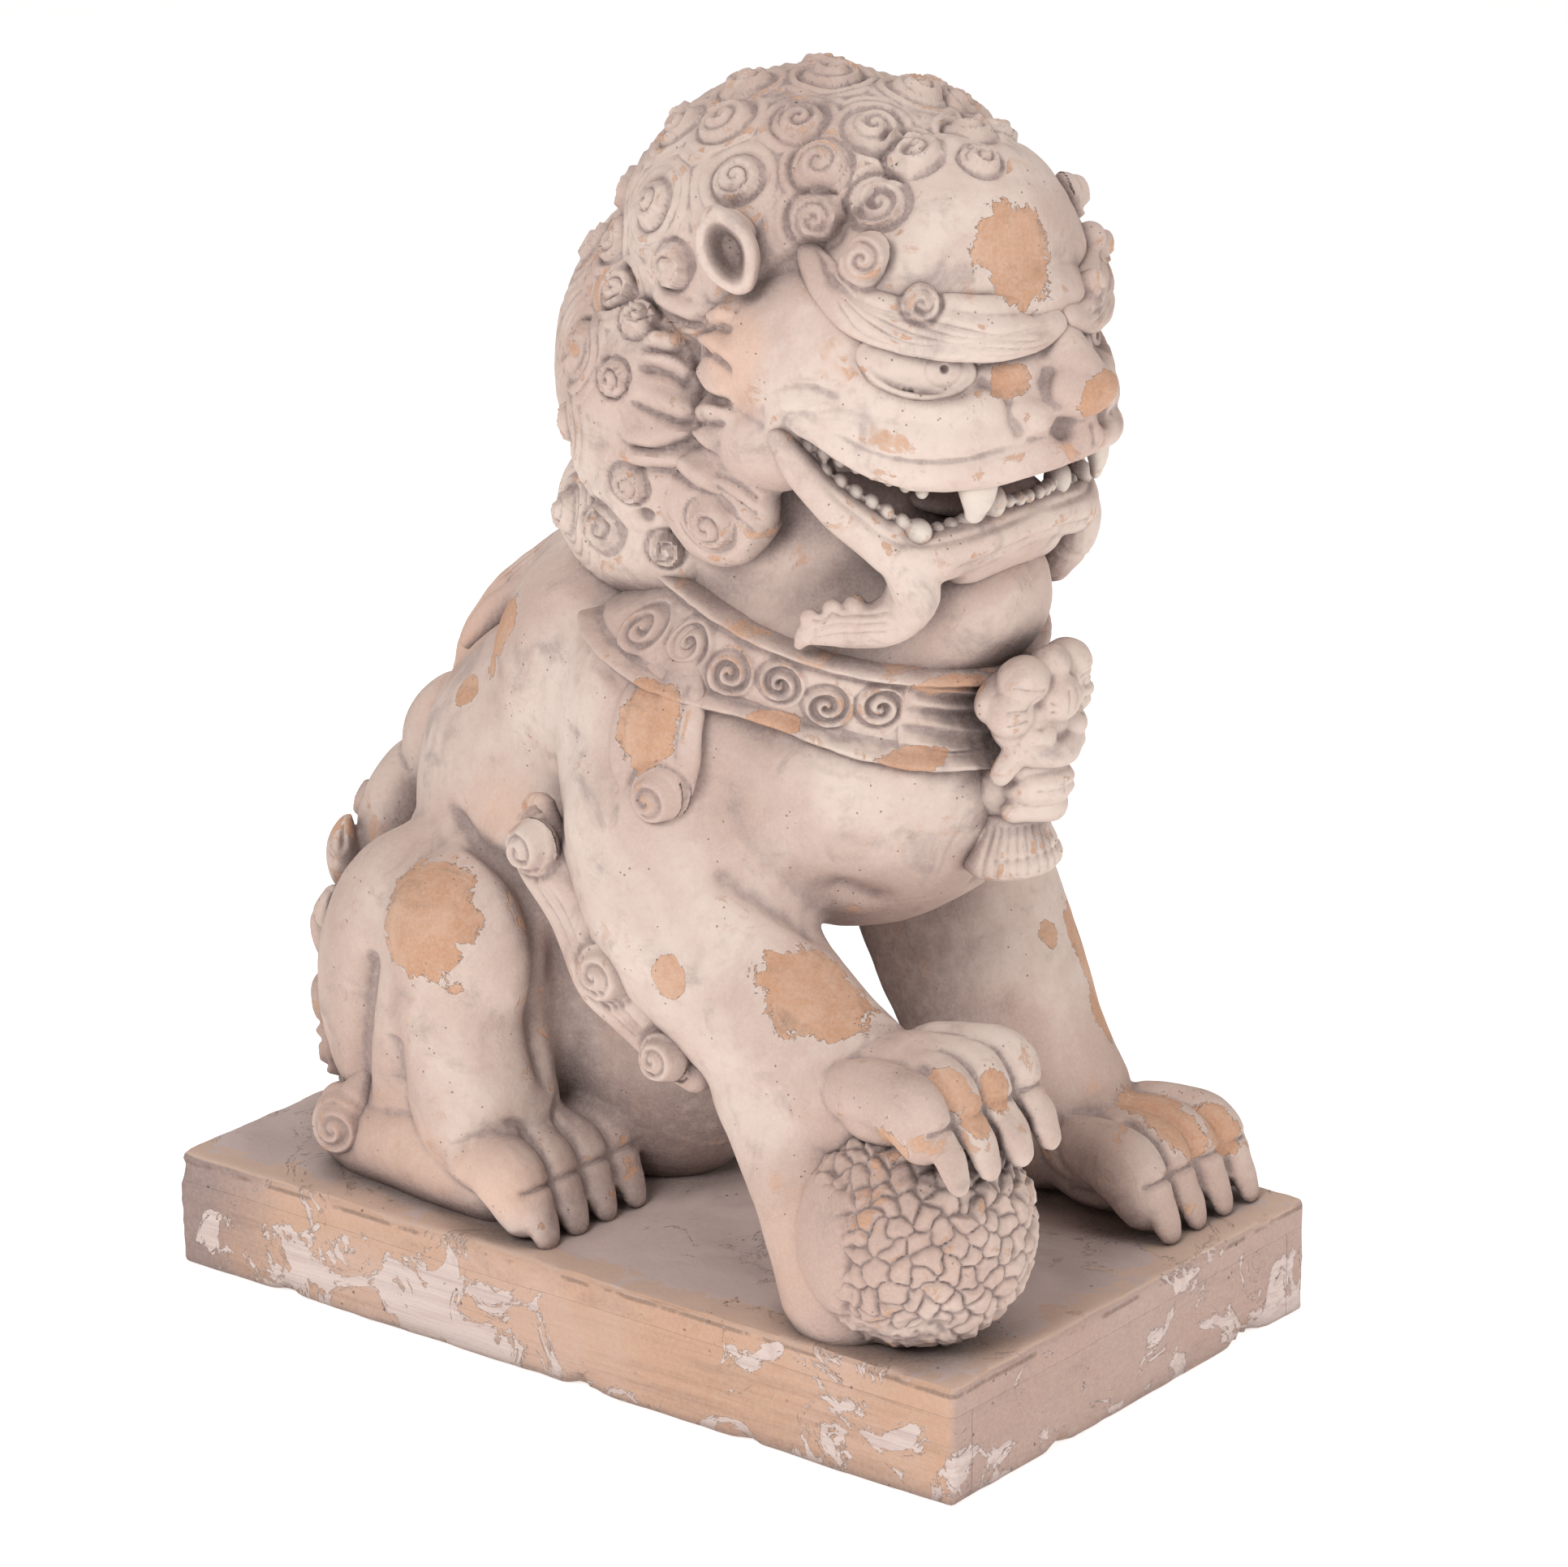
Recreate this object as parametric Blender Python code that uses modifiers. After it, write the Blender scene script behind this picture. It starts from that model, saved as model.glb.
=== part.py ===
"""Foo dog (guardian lion) statue in fired terracotta, seated on a slab-built plinth.

+Z is up, the lion faces -Y, and the origin is at the centre of the footprint, on the ground.
The lion is hollow and made in pressed sections that meet at luted joints GAP wide.
Soft forms are lumps of clay joined together, fused by a voxel remesh, and then cut into sections.
"""
import math

import bmesh
import bpy
from mathutils import Euler, Matrix, Vector

# ---------------------------------------------------------------- driving sizes, in metres
PLINTH_L = 0.484        # along the lion, front to back
PLINTH_W = 0.296        # across the lion
PLINTH_H = 0.060
DECK_T = 0.015          # slab the lion is luted to
WALL_T = 0.016          # four upright slabs under the deck
RIB_T = 0.014           # cross slab under the deck
FIG_H = 0.577           # deck to the top of the mane
FIG_L = 0.450           # nose to tail
FIG_W = 0.256           # over the elbows
BALL_R = 0.059          # brocade ball under the right fore paw
CLAY_T = 0.016          # wall of the hollow body and head
COLLAR_W = 0.036
COLLAR_T = 0.008
COLLAR_TILT = 17.0      # degrees, lower at the chest
TAIL_T = 0.030          # how far the tail stands off the rump
FANG_L = 0.020
GAP = 0.0003            # slip joint between neighbouring pieces

KX = FIG_W / 0.256      # the figure is drawn at its nominal size and stretched by these
KY = FIG_L / 0.450
KZ = FIG_H / 0.577
DECK = PLINTH_H

# ---------------------------------------------------------------- scene set-up
for old in list(bpy.data.objects):
    bpy.data.objects.remove(old, do_unlink=True)

STATUE = bpy.data.collections.new("foo_dog_statue")
CUTTERS = bpy.data.collections.new("cutters")
bpy.context.scene.collection.children.link(STATUE)
bpy.context.scene.collection.children.link(CUTTERS)
CUTTERS.hide_render = True


def material(name, colour, roughness):
    """A fired-clay finish with its own Principled shader."""
    mat = bpy.data.materials.new(name)
    mat.use_nodes = True
    shader = mat.node_tree.nodes["Principled BSDF"]
    shader.inputs["Base Color"].default_value = (*colour, 1.0)
    shader.inputs["Roughness"].default_value = roughness
    return mat


SLIP = material("pink_slip", (0.62, 0.52, 0.47), 0.85)
BARE = material("bare_terracotta", (0.58, 0.36, 0.22), 0.88)
HAIR = material("slip_on_hair", (0.56, 0.46, 0.41), 0.87)
TOOTH = material("tooth_slip", (0.66, 0.58, 0.52), 0.80)
DARK = material("mouth_clay", (0.42, 0.31, 0.27), 0.90)


# ---------------------------------------------------------------- helpers
def at(x, y, z):
    """Nominal figure position stretched to the chosen figure size."""
    return Vector((x * KX, y * KY, DECK + (z - 0.060) * KZ))


def put(obj, collection, mat=None):
    """Move an object into a collection and give it one material."""
    for coll in list(obj.users_collection):
        coll.objects.unlink(obj)
    collection.objects.link(obj)
    if mat is not None:
        obj.data.materials.clear()
        obj.data.materials.append(mat)
    obj.display_type = "WIRE" if collection is CUTTERS else "TEXTURED"
    obj.hide_render = collection is CUTTERS
    return obj


def bake(obj):
    """Replace an object's mesh with what its modifiers make of it."""
    graph = bpy.context.evaluated_depsgraph_get()
    mesh = bpy.data.meshes.new_from_object(obj.evaluated_get(graph))
    obj.modifiers.clear()
    obj.data = mesh
    return obj


def lump(x, y, z, rx, ry=None, rz=None, turn=(0.0, 0.0, 0.0)):
    """One rounded lump of clay; turn is degrees about X, Y and Z."""
    ry = rx if ry is None else ry
    rz = rx if rz is None else rz
    bpy.ops.mesh.primitive_uv_sphere_add(segments=20, ring_count=12, radius=1.0)
    obj = bpy.context.active_object
    spin = Euler([math.radians(a) for a in turn]).to_matrix().to_4x4()
    stretch = Matrix.Diagonal((KX, KY, KZ, 1.0))
    size = Matrix.Diagonal((rx, ry, rz, 1.0))
    obj.data.transform(Matrix.Translation(at(x, y, z)) @ stretch @ spin @ size)
    return obj


def limb(points, steps=4):
    """A tapering roll of clay through (x, y, z, radius) points."""
    rolls = []
    for a, b in zip(points, points[1:]):
        for i in range(steps):
            t = i / steps
            rolls.append(lump(*[p + (q - p) * t for p, q in zip(a, b)]))
    rolls.append(lump(*points[-1]))
    return rolls


def both(maker, *args, **kwargs):
    """The same lump or roll on the right (-X) and left (+X) of the lion."""
    made = []
    for side in (-1.0, 1.0):
        first = args[0]
        if isinstance(first, list):
            flipped = [(side * p[0], *p[1:]) for p in first]
            made += maker(flipped, *args[1:], **kwargs)
        else:
            made.append(maker(side * first, *args[1:], **kwargs))
    return made


def join(objs):
    """Join lumps into one object."""
    bpy.ops.object.select_all(action="DESELECT")
    for obj in objs:
        obj.select_set(True)
    bpy.context.view_layer.objects.active = objs[0]
    if len(objs) > 1:
        bpy.ops.object.join()
    return bpy.context.view_layer.objects.active


def clay(name, objs, voxel, smooth, triangles, mat, collection=STATUE):
    """Fuse lumps into one closed body of about the given number of triangles."""
    body = join(objs)
    body.name = name
    fuse = body.modifiers.new("fuse", "REMESH")
    fuse.mode = "VOXEL"
    fuse.voxel_size = voxel
    if smooth:
        soft = body.modifiers.new("soft", "SMOOTH")
        soft.factor = 0.5
        soft.iterations = smooth
    bake(body)
    keep_largest(body)
    tris = sum(len(p.vertices) - 2 for p in body.data.polygons)
    if tris > triangles:
        thin = body.modifiers.new("thin", "DECIMATE")
        thin.ratio = triangles / tris
        bake(body)
    put(body, collection, mat)
    return body


def keep_largest(obj):
    """Drop crumbs so that one connected body is left."""
    bm = bmesh.new()
    bm.from_mesh(obj.data)
    left = set(bm.verts)
    islands = []
    while left:
        stack = [left.pop()]
        island = list(stack)
        while stack:
            for edge in stack.pop().link_edges:
                for vert in edge.verts:
                    if vert in left:
                        left.remove(vert)
                        stack.append(vert)
                        island.append(vert)
        islands.append(island)
    if len(islands) > 1:
        islands.sort(key=island_size, reverse=True)
        crumbs = [vert for island in islands[1:] for vert in island]
        bmesh.ops.delete(bm, geom=crumbs, context="VERTS")
        bm.to_mesh(obj.data)
    bm.free()
    return obj


def island_size(island):
    """Diagonal of the box round a set of vertices."""
    low = [min(v.co[i] for v in island) for i in range(3)]
    high = [max(v.co[i] for v in island) for i in range(3)]
    return sum((b - a) ** 2 for a, b in zip(low, high))


def copy(obj, name, collection=CUTTERS):
    """A separate copy of an object."""
    twin = obj.copy()
    twin.data = obj.data.copy()
    twin.name = name
    collection.objects.link(twin)
    twin.display_type = "WIRE" if collection is CUTTERS else "TEXTURED"
    twin.hide_render = collection is CUTTERS
    return twin


def swollen(obj, amount):
    """A copy pushed out along its normals, used to leave a gap round a piece."""
    twin = copy(obj, obj.name + "_swollen")
    push = twin.modifiers.new("push", "DISPLACE")
    push.strength = amount
    push.mid_level = 0.0
    return bake(twin)


def box(name, low, high):
    """An axis-aligned cutter between two corners."""
    bpy.ops.mesh.primitive_cube_add(size=1.0)
    obj = bpy.context.active_object
    obj.name = name
    size = [b - a for a, b in zip(low, high)]
    mid = [(a + b) / 2 for a, b in zip(low, high)]
    obj.data.transform(Matrix.Translation(mid) @ Matrix.Diagonal((*size, 1.0)))
    return put(obj, CUTTERS)


def cut(obj, tool, operation="DIFFERENCE"):
    """Boolean an object with a tool at once."""
    mod = obj.modifiers.new("cut", "BOOLEAN")
    mod.operation = operation
    mod.solver = "EXACT"
    mod.object = tool
    bake(obj)
    return keep_largest(obj)


def seat(obj, *neighbours, slack=1.6):
    """Carve a piece so that it beds GAP off its neighbours; slack covers the facets' corners."""
    for other in neighbours:
        cut(obj, swollen(other, GAP * slack))
    return tidy(obj)


def tidy(obj):
    """Weld and triangulate a finished piece."""
    bm = bmesh.new()
    bm.from_mesh(obj.data)
    bmesh.ops.remove_doubles(bm, verts=bm.verts, dist=0.00002)
    bmesh.ops.dissolve_degenerate(bm, edges=bm.edges, dist=0.00002)
    bmesh.ops.triangulate(bm, faces=bm.faces)
    bm.to_mesh(obj.data)
    bm.free()
    return obj


def section(source, name, low, high, mat, core=None):
    """The part of a fused body inside a box, hollowed by a core."""
    piece = copy(source, name, STATUE)
    cut(piece, box(name + "_box", low, high), "INTERSECT")
    if core is not None:
        cut(piece, core)
    put(piece, STATUE, mat)
    return tidy(piece)


# ---------------------------------------------------------------- plinth
def slab(name, low, high, mat):
    """A plain clay slab."""
    bpy.ops.mesh.primitive_cube_add(size=1.0)
    obj = bpy.context.active_object
    obj.name = name
    size = [b - a for a, b in zip(low, high)]
    mid = [(a + b) / 2 for a, b in zip(low, high)]
    obj.data.transform(Matrix.Translation(mid) @ Matrix.Diagonal((*size, 1.0)))
    soft = obj.modifiers.new("worn_edge", "BEVEL")
    soft.width = 0.0025
    soft.segments = 1
    bake(obj)
    return tidy(put(obj, STATUE, mat))


HX = PLINTH_W / 2
HY = PLINTH_L / 2
UNDER = PLINTH_H - DECK_T - GAP
slab("plinth_deck", (-HX, -HY, PLINTH_H - DECK_T), (HX, HY, PLINTH_H), SLIP)
slab("plinth_wall_right", (-HX, -HY, 0), (-HX + WALL_T, HY, UNDER), BARE)
slab("plinth_wall_left", (HX - WALL_T, -HY, 0), (HX, HY, UNDER), BARE)
INX = HX - WALL_T - GAP
slab("plinth_wall_front", (-INX, -HY, 0), (INX, -HY + WALL_T, UNDER), BARE)
slab("plinth_wall_back", (-INX, HY - WALL_T, 0), (INX, HY, UNDER), BARE)
slab("plinth_rib", (-INX, -RIB_T / 2, 0), (INX, RIB_T / 2, UNDER), BARE)

# ---------------------------------------------------------------- body: torso, legs and paws
torso = [
    lump(0, -0.078, 0.292, 0.098, 0.088, 0.076),
    lump(0, -0.055, 0.360, 0.095, 0.100, 0.060),
    lump(0, -0.050, 0.420, 0.088, 0.090, 0.060),
    lump(0, -0.120, 0.385, 0.055, 0.050, 0.042),
    lump(0, 0.030, 0.320, 0.100, 0.090, 0.090),
    lump(0, 0.075, 0.250, 0.100, 0.100, 0.100),
    lump(0, 0.105, 0.170, 0.100, 0.085, 0.118),
    lump(0, 0.045, 0.165, 0.072, 0.080, 0.115),
]
shoulders = both(lump, 0.078, -0.022, 0.310, 0.045, 0.060, 0.075)
fore_right = limb([(-0.086, -0.022, 0.285, 0.052), (-0.094, -0.050, 0.238, 0.051),
                   (-0.098, -0.097, 0.203, 0.047), (-0.101, -0.150, 0.174, 0.039)])
fore_right += limb([(-0.104, -0.108, 0.168, 0.036), (-0.112, -0.140, 0.125, 0.034),
                    (-0.112, -0.156, 0.075, 0.033)])
fore_right.append(lump(-0.103, -0.182, 0.180, 0.036, 0.036, 0.025))
fore_left = limb([(0.085, -0.030, 0.280, 0.050), (0.085, -0.060, 0.225, 0.051),
                  (0.085, -0.088, 0.165, 0.050), (0.088, -0.108, 0.125, 0.046),
                  (0.092, -0.132, 0.095, 0.040)])
fore_left.append(lump(0.095, -0.170, 0.080, 0.040, 0.045, 0.026))
for n in range(4):
    across = -0.130 + 0.0185 * n
    fore_right += limb([(across, -0.198, 0.184, 0.0145), (across, -0.218, 0.175, 0.0125)], 2)
    across = 0.066 + 0.0185 * n
    fore_left += limb([(across, -0.188, 0.082, 0.0165), (across, -0.204, 0.074, 0.0150)], 2)
thighs = both(lump, 0.086, 0.120, 0.155, 0.044, 0.070, 0.088)
thighs += both(lump, 0.104, 0.086, 0.192, 0.034, 0.044, 0.048)
thighs += both(limb, [(0.104, 0.086, 0.170, 0.036), (0.104, 0.076, 0.120, 0.036),
                      (0.100, 0.070, 0.090, 0.033)])
feet = both(limb, [(0.098, 0.155, 0.080, 0.026), (0.098, 0.085, 0.084, 0.034),
                   (0.096, 0.062, 0.084, 0.036)])
for n in range(4):
    across = 0.066 + 0.0195 * n
    feet += both(limb, [(across, 0.048, 0.084, 0.0170), (across, 0.034, 0.075, 0.0155)], 2)
body = clay("body_form", torso + shoulders + fore_right + fore_left + thighs + feet,
            0.0045, 2, 2100, SLIP, CUTTERS)

w = CLAY_T
hollow = [
    lump(0, -0.070, 0.305, 0.092 - w, 0.082 - w, 0.070 - w),
    lump(0, -0.050, 0.360, 0.088 - w, 0.090 - w, 0.062 - w),
    lump(0, -0.050, 0.420, 0.080 - w, 0.080 - w, 0.070 - w),
    lump(0, 0.030, 0.315, 0.094 - w, 0.084 - w, 0.084 - w),
    lump(0, 0.075, 0.250, 0.094 - w, 0.092 - w, 0.092 - w),
    lump(0, 0.095, 0.180, 0.080 - w, 0.076 - w, 0.100 - w),
]
body_core = clay("body_core", hollow, 0.007, 2, 240, SLIP, CUTTERS)

FLOOR = DECK + GAP
FAR = 0.4
WAIST = at(0, 0.030, 0).y           # joint between chest and haunch sections
ELBOW = at(0, 0, 0.246).z           # forelegs are luted on below the chest
NECK = at(0, 0, 0.352).z
NAPE = at(0, 0, 0.436).z
HIP = at(0.060, 0, 0).x
HOCK = at(0, 0.088, 0).y
INSTEP = at(0, 0, 0.112).z
HIP_TOP = at(0, 0, 0.262).z
WRIST_R = at(0, -0.158, 0).y
WRIST_L = at(0, 0, 0.114).z
BRISKET = at(0.045, 0, 0).x         # inner face of the foreleg sections
h = GAP / 2

chest = section(body, "chest_section", (-FAR, -FAR, ELBOW + h), (FAR, WAIST - h, NECK - h),
                SLIP, body_core)
neck = section(body, "neck_section", (-FAR, -FAR, NECK + h), (FAR, FAR, NAPE - h), SLIP, body_core)
haunch = section(body, "haunch_section", (-FAR, WAIST + h, FLOOR), (FAR, FAR, NECK - h),
                 SLIP, body_core)
for side, sign in (("right", -1.0), ("left", 1.0)):
    xs = sorted((sign * HIP, sign * FAR))
    leg_box = box("hip_cut_" + side, (xs[0], WAIST, 0), (xs[1], FAR, HIP_TOP))
    cut(haunch, leg_box)
tidy(haunch)
legs = {}
for side, sign in (("right", -1.0), ("left", 1.0)):
    xs = sorted((sign * (HIP + GAP), sign * FAR))
    legs[side] = section(body, "hind_leg_" + side, (xs[0], WAIST + h, FLOOR),
                         (xs[1], FAR, HIP_TOP - GAP), SLIP)
    toe_box = box("toe_cut_" + side, (xs[0], -FAR, 0), (xs[1], HOCK + h, INSTEP + h))
    cut(legs[side], toe_box)
    tidy(legs[side])
    section(body, "hind_paw_" + side, (xs[0], WAIST - 0.03, FLOOR), (xs[1], HOCK - h, INSTEP - h), SLIP)
section(body, "belly_section", (-BRISKET, -FAR, FLOOR), (BRISKET, WAIST - h, ELBOW - h), SLIP)
foreleg = section(body, "foreleg_right", (-FAR, -FAR, FLOOR),
                  (-BRISKET - GAP, WAIST - h, ELBOW - h), SLIP)
cut(foreleg, box("paw_cut", (-FAR, -FAR, WRIST_L - GAP), (0, WRIST_R + h, FAR)))
cut(foreleg, box("shin_cut", (-FAR, at(0, -0.060, 0).y, 0), (0, FAR, WRIST_L)))
tidy(foreleg)
section(body, "fore_paw_right", (-FAR, -FAR, WRIST_L), (-BRISKET, WRIST_R - h, ELBOW - h), SLIP)
section(body, "foreleg_left", (BRISKET + GAP, -FAR, WRIST_L + h),
        (FAR, WAIST - h, ELBOW - h), SLIP)
section(body, "fore_paw_left", (BRISKET + GAP, -FAR, FLOOR),
        (FAR, at(0, -0.03, 0).y, WRIST_L - h), SLIP)

# ---------------------------------------------------------------- brocade ball
bpy.ops.mesh.primitive_ico_sphere_add(subdivisions=4, radius=BALL_R)
ball = bpy.context.active_object
ball.name = "brocade_ball"
ball_at = at(-0.105, -0.188, 0.060)
ball.data.transform(Matrix.Translation((ball_at.x, ball_at.y, DECK + BALL_R - 0.006)))
put(ball, STATUE, BARE)
thin = ball.modifiers.new("thin", "DECIMATE")
thin.ratio = 0.16
bake(ball)
cut(ball, box("ball_foot", (-FAR, -FAR, -FAR), (FAR, FAR, FLOOR)))
seat(ball, body)

# ---------------------------------------------------------------- collar, bow, bell and tassel
collar = copy(swollen(body, COLLAR_T), "collar_band", STATUE)
bpy.ops.mesh.primitive_cube_add(size=1.0)
ring = bpy.context.active_object
ring.name = "collar_ring"
mid = at(0, -0.050, 0.369)
tilt = Matrix.Rotation(math.radians(COLLAR_TILT), 4, "X")
ring.data.transform(Matrix.Translation(mid) @ tilt @ Matrix.Diagonal((0.6, 0.6, COLLAR_W, 1)))
put(ring, CUTTERS)
cut(collar, ring, "INTERSECT")
cut(collar, box("collar_end", (-FAR, at(0, -0.012, 0).y, 0), (FAR, FAR, FAR * 2)))
put(collar, STATUE, HAIR)
cut(collar, swollen(body, GAP * 2.0))
tidy(collar)
bow = clay("collar_bow", [lump(0.004, -0.176, 0.340, 0.036, 0.020, 0.022),
                          lump(0.004, -0.188, 0.336, 0.020, 0.014, 0.024)], 0.003, 1, 180, HAIR)
seat(bow, body, collar)
bell = clay("collar_bell", [lump(0.002, -0.178, 0.303, 0.021, 0.018, 0.015)], 0.003, 1, 120, BARE)
seat(bell, body, collar, bow)
skirt = [lump(0.000, -0.170, 0.280, 0.020, 0.018, 0.013), lump(0.000, -0.168, 0.266, 0.030, 0.022, 0.011)]
tassel = clay("bell_tassel", skirt, 0.003, 1, 140, HAIR)
seat(tassel, body, bell)

# ---------------------------------------------------------------- head
skull = [
    lump(0, -0.065, 0.540, 0.080, 0.084, 0.066),
    lump(0, -0.060, 0.480, 0.082, 0.085, 0.050),
    lump(0, -0.138, 0.562, 0.055, 0.042, 0.042),
    lump(0, -0.150, 0.500, 0.056, 0.050, 0.034),
    lump(0, -0.175, 0.486, 0.044, 0.036, 0.022),
]
skull += both(lump, 0.074, -0.098, 0.505, 0.036, 0.050, 0.046)
skull += both(limb, [(0.090, -0.108, 0.482, 0.013), (0.074, -0.145, 0.470, 0.012),
                     (0.046, -0.185, 0.466, 0.012), (0.000, -0.203, 0.472, 0.012)], 5)
head = clay("head_form", skull, 0.0045, 3, 680, SLIP, CUTTERS)
cut(head, box("nape_cut", (-FAR, -FAR, -FAR), (FAR, FAR, NAPE + h)))
brain = [
    lump(0, -0.065, 0.535, 0.074 - w, 0.078 - w, 0.062 - w),
    lump(0, -0.058, 0.480, 0.076 - w, 0.078 - w, 0.060 - w),
    lump(0, -0.058, 0.440, 0.066 - w, 0.066 - w, 0.060 - w),
]
head_core = clay("head_core", brain, 0.006, 2, 150, SLIP, CUTTERS)
head.name = "head_section"
put(head, STATUE, SLIP)
cut(head, head_core)
tidy(head)
bow_of_jaw = both(limb, [(0.084, -0.118, 0.450, 0.013), (0.070, -0.138, 0.430, 0.014),
                         (0.048, -0.162, 0.422, 0.015), (0.000, -0.180, 0.430, 0.016)], 5)
bow_of_jaw.append(lump(0, -0.138, 0.418, 0.052, 0.048, 0.015))
jaw = clay("lower_jaw", bow_of_jaw, 0.0035, 2, 440, SLIP)
seat(jaw, head, neck, collar)
tongue = clay("tongue", [lump(0, -0.148, 0.442, 0.030, 0.036, 0.012)], 0.0035, 1, 90, DARK)
seat(tongue, head, neck, jaw)

for side, sign in (("right", -1.0), ("left", 1.0)):
    eye = clay("eye_" + side, [lump(sign * 0.062, -0.158, 0.513, 0.021, 0.017, 0.013)],
               0.003, 1, 90, TOOTH)
    seat(eye, head)
    roll = limb([(sign * 0.018, -0.187, 0.526, 0.011), (sign * 0.052, -0.174, 0.531, 0.014),
                 (sign * 0.074, -0.148, 0.549, 0.014), (sign * 0.080, -0.128, 0.572, 0.013)], 5)
    brow = clay("brow_" + side, roll, 0.0035, 1, 170, HAIR)
    seat(brow, head, eye)
    bpy.ops.mesh.primitive_cone_add(vertices=14, radius1=0.0015, radius2=0.0065, depth=FANG_L)
    fang = bpy.context.active_object
    fang.name = "fang_upper_" + side
    fang.data.transform(Matrix.Translation(at(sign * 0.043, -0.184, 0.4530)))
    put(fang, STATUE, TOOTH)
    seat(fang, head, jaw)
    bpy.ops.mesh.primitive_cone_add(vertices=14, radius1=0.0070, radius2=0.0030, depth=0.018)
    low_fang = bpy.context.active_object
    low_fang.name = "fang_lower_" + side
    low_fang.data.transform(Matrix.Translation(at(sign * 0.025, -0.180, 0.4480)))
    put(low_fang, STATUE, TOOTH)
    seat(low_fang, jaw, head, tongue)
    row = limb([(sign * 0.058, -0.135, 0.458, 0.0075), (sign * 0.050, -0.160, 0.455, 0.0070)], 4)
    teeth = clay("molars_upper_" + side, row, 0.0025, 0, 90, TOOTH)
    seat(teeth, head, jaw, tongue)
    ear_roll = limb([(sign * 0.088, -0.074, 0.556, 0.014), (sign * 0.104, -0.082, 0.566, 0.018)], 3)
    ear = clay("ear_" + side, ear_roll, 0.003, 1, 150, SLIP)
    dish = lump(sign * 0.118, -0.094, 0.568, 0.012, 0.011, 0.014)
    cut(ear, put(dish, CUTTERS))
    seat(ear, head)
    flap = limb([(sign * 0.072, -0.142, 0.414, 0.011), (sign * 0.076, -0.128, 0.398, 0.013),
                 (sign * 0.082, -0.108, 0.390, 0.013)], 4)
    beard = clay("beard_lock_" + side, flap, 0.003, 1, 130, HAIR)
    seat(beard, jaw, neck, head, collar)
nose = clay("nose", [lump(0, -0.206, 0.494, 0.029, 0.013, 0.016)], 0.003, 1, 100, BARE)
seat(nose, head)

# ---------------------------------------------------------------- hair locks, spine and tail
for side, sign in (("right", -1.0), ("left", 1.0)):
    drop = limb([(sign * 0.114, -0.041, 0.342, 0.012), (sign * 0.118, -0.043, 0.313, 0.022),
                 (sign * 0.120, -0.042, 0.280, 0.015)], 4)
    lock = clay("shoulder_lock_" + side, drop, 0.003, 1, 130, HAIR)
    seat(lock, body, collar, slack=3.0)
    if side == "right":
        path = [(-0.122, 0.026, 0.262, 0.014), (-0.124, 0.002, 0.228, 0.013),
                (-0.128, -0.024, 0.203, 0.015), (-0.122, -0.058, 0.172, 0.014)]
    else:
        path = [(0.118, 0.012, 0.250, 0.014), (0.120, -0.006, 0.205, 0.013),
                (0.122, -0.032, 0.165, 0.015), (0.120, -0.060, 0.130, 0.013)]
    fringe = clay("elbow_fringe_" + side, limb(path, 5), 0.0035, 1, 200, HAIR)
    seat(fringe, body)
    curl = clay("hock_lock_" + side, [lump(sign * 0.116, 0.158, 0.086, 0.016, 0.020, 0.018)],
                0.003, 1, 150, HAIR)
    seat(curl, body)
ridge = limb([(0, 0.128, 0.345, 0.008), (0, 0.146, 0.322, 0.016), (0, 0.163, 0.298, 0.013)], 5)
spine = clay("spine_lock", ridge, 0.003, 1, 130, HAIR)
seat(spine, body)
stand = TAIL_T / 0.030
plume = [
    lump(0, 0.182, 0.250, 0.030, 0.022 * stand, 0.034),
    lump(0, 0.198, 0.205, 0.046, 0.024 * stand, 0.040),
    lump(0, 0.206, 0.155, 0.060, 0.028 * stand, 0.045),
    lump(0, 0.207, 0.105, 0.060, 0.028 * stand, 0.040),
]
plume += both(lump, 0.046, 0.212, 0.190, 0.018, 0.018, 0.030)
plume += both(lump, 0.056, 0.216, 0.118, 0.018, 0.018, 0.034)
tail = clay("tail", plume, 0.0045, 1, 420, HAIR)
cut(tail, box("tail_foot", (-FAR, -FAR, -FAR), (FAR, FAR, FLOOR)))
seat(tail, body, spine)

# ---------------------------------------------------------------- mane: cap of curls in four panels
hair = [
    lump(0, -0.058, 0.538, 0.092, 0.092, 0.082),
    lump(0, -0.088, 0.555, 0.074, 0.066, 0.064),
    lump(0, -0.022, 0.480, 0.100, 0.084, 0.100),
    lump(0, -0.010, 0.410, 0.096, 0.074, 0.050),
]
hair += both(lump, 0.094, -0.068, 0.440, 0.022, 0.028, 0.030)
golden = math.pi * (3.0 - math.sqrt(5.0))
for n in range(64):
    up = 1.0 - 1.65 * (n + 0.5) / 64
    round_ = math.sqrt(max(0.0, 1.0 - up * up))
    x = math.cos(golden * n) * round_
    y = math.sin(golden * n) * round_
    z = 0.537 + 0.080 * up
    if up < 0.0:
        z = 0.537 + 0.130 * up
    if y > 0.15 or (up > 0.45 and y > -0.75):
        hair.append(lump(0.090 * x, -0.058 + 0.092 * y, z, 0.018, 0.018, 0.018))
face = box("face_opening", (-FAR, -FAR, -FAR), at(FAR, -0.066, 0.566))
mane = clay("mane_form", hair, 0.0046, 1, 1000, HAIR, CUTTERS)
cut(mane, face)
for other in (head, body, collar):
    cut(mane, swollen(other, GAP * 2.2))
for name in ("right", "left"):
    for lock in ("ear_", "brow_", "shoulder_lock_"):
        cut(mane, swollen(bpy.data.objects[lock + name], GAP * 1.6))
CROWN = at(0, 0, 0.520).z
BACK = at(0, -0.012, 0).y
section(mane, "mane_crown", (-FAR, -FAR, CROWN + h), (FAR, FAR, FAR * 3), HAIR)
section(mane, "mane_nape", (-FAR, BACK + h, 0), (FAR, FAR, CROWN - h), HAIR)
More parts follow.
